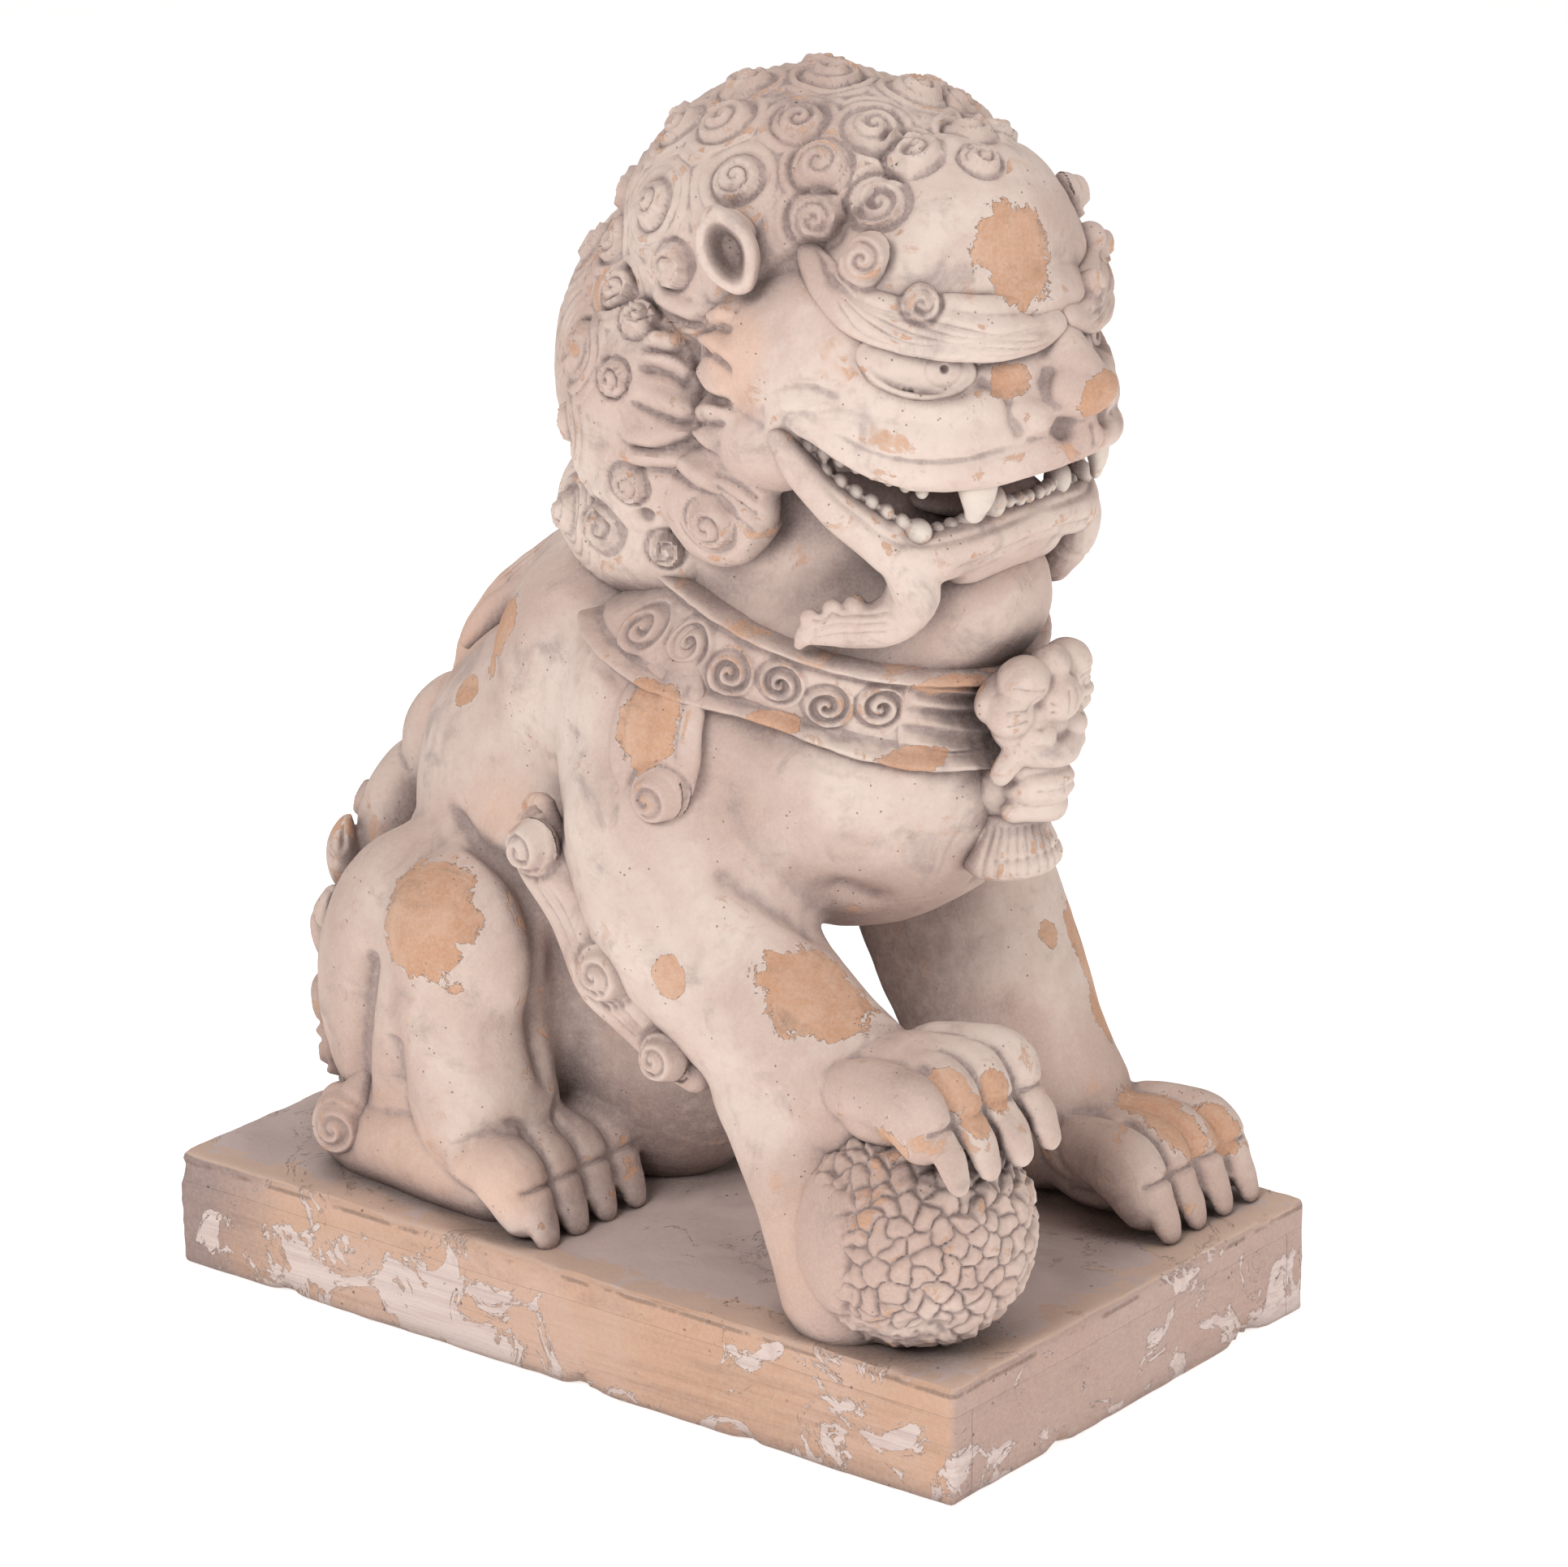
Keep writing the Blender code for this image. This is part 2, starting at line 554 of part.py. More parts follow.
section(mane, "mane_side_right", (-FAR, -FAR, 0), (0, BACK - h, CROWN - h), HAIR)
section(mane, "mane_side_left", (0, -FAR, 0), (FAR, BACK - h, CROWN - h), HAIR)
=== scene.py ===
import math

import bmesh
import bpy
import numpy as np
from mathutils import Matrix, Vector
from mathutils.bvhtree import BVHTree


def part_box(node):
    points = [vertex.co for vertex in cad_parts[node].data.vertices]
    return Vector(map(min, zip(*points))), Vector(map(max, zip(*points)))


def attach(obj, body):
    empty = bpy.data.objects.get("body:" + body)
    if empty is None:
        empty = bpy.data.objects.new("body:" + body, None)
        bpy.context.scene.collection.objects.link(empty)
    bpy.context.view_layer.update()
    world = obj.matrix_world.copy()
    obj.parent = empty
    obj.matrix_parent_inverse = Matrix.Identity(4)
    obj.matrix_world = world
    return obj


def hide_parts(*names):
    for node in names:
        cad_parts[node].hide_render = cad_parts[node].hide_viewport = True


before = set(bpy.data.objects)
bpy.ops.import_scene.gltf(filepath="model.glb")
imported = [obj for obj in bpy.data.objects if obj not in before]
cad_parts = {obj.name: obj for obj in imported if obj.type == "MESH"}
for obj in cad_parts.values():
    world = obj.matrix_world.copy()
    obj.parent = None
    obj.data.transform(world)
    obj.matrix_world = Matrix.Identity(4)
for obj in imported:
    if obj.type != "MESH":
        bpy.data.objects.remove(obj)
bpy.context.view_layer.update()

DECK_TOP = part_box("plinth_deck")[1][2]
WORK = bpy.context.scene.collection
RIGHT, LEFT = -1.0, 1.0                      # the lion's own sides
SIDES = ((RIGHT, "right"), (LEFT, "left"))
X, Y, Z = Vector((1, 0, 0)), Vector((0, 1, 0)), Vector((0, 0, 1))
GOLDEN_TURN = math.pi * (3 - math.sqrt(5))   # steps of this turn spread points evenly over a ball


# ---------------------------------------------------------------- camera, floor and light
def set_camera():
    """A long lens, a little above the statue's right shoulder."""
    lens = bpy.data.cameras.new("studio_camera")
    lens.lens = 141.7
    lens.sensor_width = 36.0
    lens.clip_end = 50.0
    cam = bpy.data.objects.new("studio_camera", lens)
    WORK.objects.link(cam)
    cam.location = (-2.249, -1.761, 1.217)
    aim = Vector((0.0065, -0.0248, 0.2682)) - cam.location
    cam.rotation_euler = aim.to_track_quat("-Z", "Y").to_euler()
    bpy.context.scene.camera = cam


def set_floor():
    """A plain pale floor, wide enough to fill the view."""
    bpy.ops.object.select_all(action="DESELECT")
    bpy.ops.mesh.primitive_circle_add(vertices=96, radius=9.0, fill_type="NGON")
    floor = bpy.context.active_object
    floor.name = "studio_floor"
    floor.data.transform(Matrix.Translation((0, 0, -0.0006)))
    mat = bpy.data.materials.new("studio_floor_white")
    mat.use_nodes = True
    shader = mat.node_tree.nodes["Principled BSDF"]
    shader.inputs["Base Color"].default_value = (0.9, 0.895, 0.89, 1.0)
    shader.inputs["Roughness"].default_value = 0.9
    shader.inputs["Specular IOR Level"].default_value = 0.1
    shader.inputs["Emission Color"].default_value = (1.0, 1.0, 1.0, 1.0)
    shader.inputs["Emission Strength"].default_value = 0.64
    floor.data.materials.append(mat)


def set_lamp(name, place, aim, size, power, colour=(1.0, 1.0, 1.0)):
    """A square soft box pointing at the statue."""
    data = bpy.data.lights.new(name, "AREA")
    data.size = size
    data.energy = power
    data.color = colour
    lamp = bpy.data.objects.new(name, data)
    lamp.location = place
    lamp.rotation_euler = (Vector(aim) - Vector(place)).to_track_quat("-Z", "Y").to_euler()
    WORK.objects.link(lamp)


def set_light():
    """Broad soft light from the right front, with a pale room round it."""
    world = bpy.data.worlds.new("pale_room")
    world.use_nodes = True
    back = world.node_tree.nodes["Background"]
    back.inputs["Color"].default_value = (1.0, 0.99, 0.985, 1.0)
    back.inputs["Strength"].default_value = 0.34
    bpy.context.scene.world = world
    set_lamp("soft_box_right", (-2.3, -0.5, 1.9), (0, 0, 0.3), 0.9, 32.0)
    set_lamp("soft_box_front", (0.4, -2.6, 1.5), (0, -0.1, 0.3), 1.2, 18.0)
    set_lamp("soft_box_top", (-0.2, 0.3, 2.6), (0, 0, 0.3), 1.6, 11.0)
    bpy.context.scene.view_settings.view_transform = "Standard"


# ---------------------------------------------------------------- lumps and rolls of clay
BIG_LUMP = 0.024          # lumps wider than this need finer facets


def lump(x, y, z, rx, ry=None, rz=None):
    """One rounded lump of clay; with one radius it is a ball."""
    ry = rx if ry is None else ry
    rz = rx if rz is None else rz
    bpy.ops.object.select_all(action="DESELECT")
    fine = 4 if max(rx, ry, rz) > BIG_LUMP else 3
    bpy.ops.mesh.primitive_ico_sphere_add(subdivisions=fine, radius=1.0)
    obj = bpy.context.active_object
    obj.data.transform(Matrix.Translation((x, y, z)) @ Matrix.Diagonal((rx, ry, rz, 1.0)))
    return obj


def through(points, step=0.003):
    """A smooth run through the given points, about step apart."""
    pts = np.array(points, float)
    if len(pts) < 3:
        n = max(2, int(np.linalg.norm(pts[-1, :3] - pts[0, :3]) / step))
        t = np.linspace(0, 1, n)[:, None]
        return pts[0] + (pts[-1] - pts[0]) * t
    ends = np.vstack([2 * pts[0] - pts[1], pts, 2 * pts[-1] - pts[-2]])
    run = []
    for a, b, c, d in zip(ends, ends[1:], ends[2:], ends[3:]):
        n = max(2, int(np.linalg.norm(c[:3] - b[:3]) / step))
        for i in range(n):
            t = i / n
            run.append(0.5 * (2 * b + (c - a) * t + (2 * a - 5 * b + 4 * c - d) * t * t
                              + (3 * b - a - 3 * c + d) * t ** 3))
    run.append(pts[-1])
    return np.array(run)


def roll(points, flat=1.0, face=None, sides=14, step=0.003):
    """A tapering roll of clay through (x, y, z, radius) points with round ends.
    flat squeezes it along face, the way it lies on what is under it."""
    run = through(points, step)
    p, r = run[:, :3], run[:, 3]
    tan = np.gradient(p, axis=0)
    tan /= np.linalg.norm(tan, axis=1)[:, None]

    def round_end(k, way, degrees):
        """Rings that close the roll at point k, a dome standing out by way."""
        return [(p[k] + way * tan[k] * r[k] * math.sin(math.radians(a)), r[k] * math.cos(math.radians(a)),
                 tan[k])
                for a in degrees]

    rings = round_end(0, -1, (80, 60, 35)) + list(zip(p, r, tan)) + round_end(-1, 1, (35, 60, 80))
    out = np.array(face if face is not None else (0.31, -0.52, 0.80), float)
    verts, faces = [], []
    for c, rad, t in rings:
        u = np.cross(t, out)
        u /= np.linalg.norm(u) + 1e-9
        v = np.cross(u, t)
        for k in range(sides):
            a = 2 * math.pi * k / sides
            verts.append(c + rad * (math.cos(a) * u + flat * math.sin(a) * v))
    for i in range(len(rings) - 1):
        for k in range(sides):
            m = (k + 1) % sides
            faces.append((i * sides + k, i * sides + m, (i + 1) * sides + m, (i + 1) * sides + k))
    faces.append(tuple(range(sides))[::-1])
    last = (len(rings) - 1) * sides
    faces.append(tuple(range(last, last + sides)))
    mesh = bpy.data.meshes.new("roll")
    mesh.from_pydata([tuple(v) for v in verts], [], faces)
    obj = bpy.data.objects.new("roll", mesh)
    WORK.objects.link(obj)
    return obj


def both(maker, first, *more, **words):
    """The same lump or roll on the lion's right and left."""
    made = []
    for side in (RIGHT, LEFT):
        if isinstance(first, list):
            made.append(maker([(side * p[0], *p[1:]) for p in first], *more, **words))
        else:
            made.append(maker(side * first, *more, **words))
    return made


def join(parts):
    """Press lumps and rolls together."""
    bpy.ops.object.select_all(action="DESELECT")
    for part in parts:
        part.select_set(True)
    bpy.context.view_layer.objects.active = parts[0]
    if len(parts) > 1:
        bpy.ops.object.join()
    return bpy.context.view_layer.objects.active


def apply_all(obj):
    """Apply an object's modifiers in order."""
    bpy.ops.object.select_all(action="DESELECT")
    obj.select_set(True)
    bpy.context.view_layer.objects.active = obj
    for mod in list(obj.modifiers):
        bpy.ops.object.modifier_apply(modifier=mod.name)


def edge_ends(mesh):
    """The two ends of every edge, as two rows of point numbers."""
    ends = np.empty(2 * len(mesh.edges), np.int64)
    mesh.edges.foreach_get("vertices", ends)
    return ends[::2], ends[1::2]


def read_points(mesh):
    """Every point of a mesh, and the way the skin faces there."""
    n = len(mesh.vertices)
    points, normals = np.empty(3 * n), np.empty(3 * n)
    mesh.vertices.foreach_get("co", points)
    mesh.vertex_normals.foreach_get("vector", normals)
    return points.reshape(n, 3), normals.reshape(n, 3)


def main_shell(obj):
    """Drop crumbs and inner bubbles, so that one closed skin is left."""
    mesh = obj.data
    a, b = edge_ends(mesh)
    label = np.arange(len(mesh.vertices))
    while True:
        low = np.minimum(label[a], label[b])
        new = label.copy()
        np.minimum.at(new, a, low)
        np.minimum.at(new, b, low)
        new = new[new]
        if (new == label).all():
            break
        label = new
    names, sizes = np.unique(label, return_counts=True)
    if len(names) == 1:
        return
    spare = label != names[sizes.argmax()]
    bm = bmesh.new()
    bm.from_mesh(mesh)
    bm.verts.ensure_lookup_table()
    bmesh.ops.delete(bm, geom=[bm.verts[i] for i in np.nonzero(spare)[0]], context="VERTS")
    bm.to_mesh(mesh)
    bm.free()


def fuse(parts, voxel, soften):
    """Work lumps and rolls into one closed clay skin, and soften it a number of times."""
    obj = join(parts)
    mod = obj.modifiers.new("fuse", "REMESH")
    mod.mode = "VOXEL"
    mod.voxel_size = voxel
    soft = obj.modifiers.new("soften", "SMOOTH")
    soft.factor = 0.5
    soft.iterations = soften
    apply_all(obj)
    main_shell(obj)
    return obj


# ---------------------------------------------------------------- modelling tools
def uneven(p, size, seed=0):
    """Smooth chance unevenness from -1 to 1, in lumps about size across."""
    q = p / size + 31.7 * (seed + 1)
    i = np.floor(q).astype(np.int64)
    f = q - i
    f = f * f * (3 - 2 * f)
    total = np.zeros(len(p))
    for dx in (0, 1):
        for dy in (0, 1):
            for dz in (0, 1):
                h = (i[:, 0] + dx) * 374761393 + (i[:, 1] + dy) * 668265263 + (i[:, 2] + dz) * 974634777
                h = (h ^ (h >> 13)) * 1274126177
                h = (h ^ (h >> 16)) & 0xFFFF
                w = ((f[:, 0] if dx else 1 - f[:, 0]) * (f[:, 1] if dy else 1 - f[:, 1])
                     * (f[:, 2] if dz else 1 - f[:, 2]))
                total += w * (h / 32767.5 - 1)
    return total


def ease(x, low, high):
    """0 below low, 1 above high, smooth between."""
    t = np.clip((x - low) / (high - low), 0, 1)
    return t * t * (3 - 2 * t)


class Skin:
    """A clay piece on the modelling stand: its points and the way each faces."""

    def __init__(self, obj):
        self.obj = obj
        self.read()
        self.tree = BVHTree.FromObject(obj, bpy.context.evaluated_depsgraph_get())

    def read(self):
        self.p, self.n = read_points(self.obj.data)

    def write(self):
        self.obj.data.vertices.foreach_set("co", self.p.ravel())
        self.obj.data.update()

    def fresh(self):
        """Look at the skin again as it is now, so that the next strokes lie on it."""
        self.write()
        self.read()
        bpy.context.view_layer.update()
        self.tree = BVHTree.FromObject(self.obj, bpy.context.evaluated_depsgraph_get())

    def snap(self, point):
        hit = self.tree.find_nearest(Vector(point[:3]))[0]
        return np.array(hit) if hit is not None else np.array(point[:3], float)

    def around(self, pts, reach):
        low, high = pts.min(0) - reach, pts.max(0) + reach
        return np.nonzero(((self.p > low) & (self.p < high)).all(1))[0]

    def stroke(self, path, width, depth, taper=0.15, mirror=False, snap=True):
        """Draw a tool along path: a groove, or a ridge where depth is negative."""
        for side in ((1.0, -1.0) if mirror else (1.0,)):
            pts = through([(side * q[0], q[1], q[2]) for q in path], 0.004)
            if snap:
                pts = np.array([self.snap(q) for q in pts])
            near = self.around(pts, 2.2 * width)
            if not len(near):
                continue
            p = self.p[near]
            a, ab = pts[:-1], pts[1:] - pts[:-1]
            best = np.full(len(p), 1e9)
            where = np.zeros(len(p))
            for k in range(len(a)):
                t = np.clip(((p - a[k]) @ ab[k]) / (ab[k] @ ab[k] + 1e-12), 0, 1)
                d = ((p - a[k] - t[:, None] * ab[k]) ** 2).sum(1)
                closer = d < best
                best[closer] = d[closer]
                where[closer] = (k + t[closer]) / len(a)
            fall = np.exp(-best / (0.5 * width) ** 2)
            fall *= ease(where, -0.001, taper) * (1 - ease(where, 1 - taper, 1.001))
            self.p[near] -= self.n[near] * (fall * depth)[:, None]

    def push(self, centre, reach, amount, mirror=False):
        """Press a thumb in, or pull the clay out where amount is negative."""
        for side in ((1.0, -1.0) if mirror else (1.0,)):
            c = np.array((side * centre[0], centre[1], centre[2]))
            d = (((self.p - c) / reach) ** 2).sum(1)
            near = np.nonzero(d < 4)[0]
            fall = np.exp(-1.2 * d[near])
            self.p[near] -= self.n[near] * (fall * amount)[:, None]

    def curl(self, centre, radius, turns=2.0, hand=1, height=0.005, ridge=0.0013, mirror=False):
        """A snail curl: a dome with one coiled ridge, cut round at its foot."""
        for side in ((1.0, -1.0) if mirror else (1.0,)):
            c = self.snap((side * centre[0], centre[1], centre[2]))
            near = self.around(c[None, :], 1.7 * radius)
            if not len(near):
                continue
            d = self.p[near] - c
            close = (d ** 2).sum(1) < (0.8 * radius) ** 2
            if not close.any():
                continue
            n = self.n[near][close].mean(0)
            n /= np.linalg.norm(n)
            u = np.cross(n, (0.13, 0.2, 0.97))
            u /= np.linalg.norm(u)
            v = np.cross(n, u)
            h = d @ n
            a, b = d @ u, d @ v
            t = np.hypot(a, b) / radius
            turn = np.arctan2(b, a) * hand * side / (2 * math.pi)
            keep = (np.abs(h) < 1.2 * radius) & (t < 1.7) & (self.n[near] @ n > 0.0)
            coil = np.cos(2 * math.pi * (t * turns - turn))
            inside = 1 - ease(t, 0.92, 1.12)
            lift = height * np.clip(1 - t ** 2, 0, 1) ** 0.6
            lift += ridge * coil * inside * ease(t, 0.0, 0.18)
            lift -= 1.3 * ridge * np.exp(-((t - 1.14) / 0.14) ** 2)
            idx = near[keep]
            self.p[idx] += n * lift[keep][:, None]

    def rough(self, size, amount, seed):
        """Hand-worked unevenness, in lumps about size across."""
        self.p += self.n * (amount * uneven(self.p, size, seed))[:, None]


def spread(mesh, values, rounds):
    """Values at the points, averaged with their neighbours a number of times."""
    n = len(mesh.vertices)
    a, b = edge_ends(mesh)
    count = np.bincount(a, minlength=n) + np.bincount(b, minlength=n)
    count = np.maximum(count, 1)
    out = values.astype(float)
    for _ in range(rounds):
        new = np.empty_like(out)
        for k in range(out.shape[1]):
            new[:, k] = (np.bincount(a, out[b, k], n) + np.bincount(b, out[a, k], n)) / count
        out = 0.5 * out + 0.5 * new
    return out


# ---------------------------------------------------------------- wear, and the hollow map for painted shade
# where the slip has come away: (x, y, z, radius x, y, z)
BARE_SPOTS = [
    (-0.018, -0.175, 0.560, 0.021, 0.030, 0.026),
    (-0.129, -0.046, 0.338, 0.016, 0.017, 0.022),
    (-0.117, -0.140, 0.226, 0.030, 0.030, 0.026),
    (-0.144, -0.072, 0.221, 0.008, 0.009, 0.011),
    (-0.133, 0.088, 0.214, 0.030, 0.030, 0.030),
    (-0.126, 0.072, 0.186, 0.010, 0.010, 0.012),
    (-0.072, 0.082, 0.347, 0.014, 0.016, 0.014),
    (-0.075, 0.096, 0.330, 0.010, 0.012, 0.012),
    (-0.071, 0.108, 0.309, 0.007, 0.009, 0.009),
    (0.116, -0.136, 0.186, 0.020, 0.022, 0.026),
    (0.116, -0.146, 0.150, 0.017, 0.020, 0.020),
    (0.082, -0.132, 0.193, 0.007, 0.007, 0.008),
    (0.000, -0.216, 0.495, 0.017, 0.012, 0.013),
    (-0.036, -0.188, 0.505, 0.013, 0.012, 0.009),
    (-0.141, -0.205, 0.176, 0.013, 0.013, 0.017),
    (-0.120, -0.216, 0.192, 0.010, 0.012, 0.010),
    (-0.113, -0.230, 0.180, 0.009, 0.010, 0.012),
    (-0.092, -0.222, 0.186, 0.008, 0.010, 0.012),
    (0.090, -0.200, 0.100, 0.016, 0.020, 0.014),
    (0.118, -0.205, 0.095, 0.014, 0.018, 0.014),
    (0.100, -0.180, 0.112, 0.018, 0.016, 0.009),
    (0.133, 0.060, 0.205, 0.022, 0.026, 0.020),
    (0.128, -0.040, 0.300, 0.014, 0.016, 0.020),
    (0.080, 0.100, 0.320, 0.016, 0.018, 0.018),
    (-0.105, -0.130, 0.362, 0.010, 0.010, 0.006),
    (-0.060, -0.150, 0.322, 0.022, 0.014, 0.006),
    (-0.040, -0.155, 0.354, 0.026, 0.014, 0.005),
    (-0.092, -0.094, 0.338, 0.010, 0.014, 0.005),
]
# where only a warm tint of the clay shows through
WARM_SPOTS = [
    (-0.120, 0.100, 0.085, 0.034, 0.050, 0.030),
    (-0.104, -0.080, 0.515, 0.014, 0.022, 0.028),
    (-0.110, 0.050, 0.270, 0.020, 0.050, 0.030),
    (-0.120, -0.010, 0.120, 0.030, 0.040, 0.040),
    (-0.125, -0.150, 0.100, 0.030, 0.030, 0.040),
    (-0.140, 0.040, 0.090, 0.030, 0.030, 0.020),
    (0.110, 0.080, 0.090, 0.040, 0.050, 0.030),
    (0.0, 0.150, 0.300, 0.050, 0.040, 0.060),
]


FINE_HOLLOW, BROAD_HOLLOW = 900, 120      # how much small creases and wide hollows count as sheltered


def spots(p, places):
    """How deep each point lies in the nearest spot: 1 in its middle, 0.5 at its rim."""
    best = np.zeros(len(p))
    for x, y, z, rx, ry, rz in places:
        d = np.sqrt((((p - (x, y, z)) / (rx, ry, rz)) ** 2).sum(1))
        best = np.maximum(best, np.clip(1 - 0.5 * d, 0, 1))
    return best


def record_wear_and_shade_maps(obj):
    """Store where clay is sheltered (read for painted shade in the hollows and for rubbing on the crests), bare
    or warm, for its finish to read.
    """
    mesh = obj.data
    p, normals = read_points(mesh)
    near = spread(mesh, p, 8)
    far = spread(mesh, near, 40)
    fine = ((near - p) * normals).sum(1)
    broad = ((far - p) * normals).sum(1)
    deep = np.clip(0.5 + FINE_HOLLOW * fine + BROAD_HOLLOW * broad, 0, 1)
    for name, values in (("sheltered", deep), ("bare", spots(p, BARE_SPOTS)), ("warm", spots(p, WARM_SPOTS))):
        layer = mesh.attributes.new(name, "FLOAT", "POINT")
        layer.data.foreach_set("value", values.astype(np.float32))


# ---------------------------------------------------------------- finishes
class Recipe:
    """Small words for mixing a finish."""

    def __init__(self, name):
        self.mat = bpy.data.materials.new(name)
        self.mat.use_nodes = True
        self.tree = self.mat.node_tree
        self.shader = self.tree.nodes["Principled BSDF"]
        self.place = self.tree.nodes.new("ShaderNodeTexCoord").outputs["Object"]

    def set(self, socket, value):
        if isinstance(value, bpy.types.NodeSocket):
            self.tree.links.new(value, socket)
        else:
            socket.default_value = value

    def stretch(self, scale):
        node = self.tree.nodes.new("ShaderNodeMapping")
        node.inputs["Scale"].default_value = scale
        self.set(node.inputs["Vector"], self.place)
        return node.outputs["Vector"]

    def noise(self, scale, detail=4.0, rough=0.55, bend=0.0, where=None):
        node = self.tree.nodes.new("ShaderNodeTexNoise")
        node.inputs["Scale"].default_value = scale
        node.inputs["Detail"].default_value = detail
        node.inputs["Roughness"].default_value = rough
        node.inputs["Distortion"].default_value = bend
        self.set(node.inputs["Vector"], where or self.place)
        return node.outputs["Fac"]

    def cells(self, scale):
        node = self.tree.nodes.new("ShaderNodeTexVoronoi")
        node.inputs["Scale"].default_value = scale
        self.set(node.inputs["Vector"], self.place)
        return node.outputs["Distance"]

    def layer(self, name):
        node = self.tree.nodes.new("ShaderNodeAttribute")
        node.attribute_name = name
        return node.outputs["Fac"]

    def sums(self, how, a, b, c=None):
        node = self.tree.nodes.new("ShaderNodeMath")
        node.operation = how
        self.set(node.inputs[0], a)
        self.set(node.inputs[1], b)
        if c is not None:
            self.set(node.inputs[2], c)
        return node.outputs[0]

    def span(self, value, low, high, to_low=0.0, to_high=1.0):
        node = self.tree.nodes.new("ShaderNodeMapRange")
        node.interpolation_type = "SMOOTHSTEP"
        self.set(node.inputs["Value"], value)
        node.inputs["From Min"].default_value = low
        node.inputs["From Max"].default_value = high
        node.inputs["To Min"].default_value = to_low
        node.inputs["To Max"].default_value = to_high
        return node.outputs["Result"]

    def mix(self, amount, a, b):
        node = self.tree.nodes.new("ShaderNodeMix")
        node.data_type = "RGBA"
        self.set(node.inputs["Factor"], amount)
        ins = [s for s in node.inputs if s.type == "RGBA"]
        self.set(ins[0], a if isinstance(a, bpy.types.NodeSocket) else (*a, 1.0))
        self.set(ins[1], b if isinstance(b, bpy.types.NodeSocket) else (*b, 1.0))
        return [s for s in node.outputs if s.type == "RGBA"][0]

    def corner(self, distance):
        node = self.tree.nodes.new("ShaderNodeAmbientOcclusion")
        node.samples = 6
        node.inputs["Distance"].default_value = distance
        return node.outputs["AO"]

    def parts(self, vector):
        node = self.tree.nodes.new("ShaderNodeSeparateXYZ")
        self.set(node.inputs[0], vector)
        return node.outputs

    def bump(self, height, depth, strength):
        node = self.tree.nodes.new("ShaderNodeBump")
        node.inputs["Strength"].default_value = strength
        node.inputs["Distance"].default_value = depth
        self.set(node.inputs["Height"], height)
        return node.outputs["Normal"]

    def finish(self, colour, roughness, gloss, relief):
        """Put the colour, the sheen and the relief on the clay."""
        self.set(self.shader.inputs["Base Color"], colour)
        self.shader.inputs["Roughness"].default_value = roughness
        self.shader.inputs["Specular IOR Level"].default_value = gloss
        self.set(self.shader.inputs["Normal"], relief)
        return self.mat


# colours of the slip, the dirt, the painted shade and the clay
SLIP_PALE = (0.735, 0.600, 0.525)
SLIP_PINK = (0.575, 0.415, 0.355)
SLIP_MAUVE = (0.285, 0.214, 0.202)
SOOT_AND_SHADE = (0.13, 0.092, 0.080)
CLAY_ORANGE = (0.555, 0.300, 0.180)
CLAY_TAN = (0.640, 0.400, 0.275)
CHALK = (0.80, 0.70, 0.65)


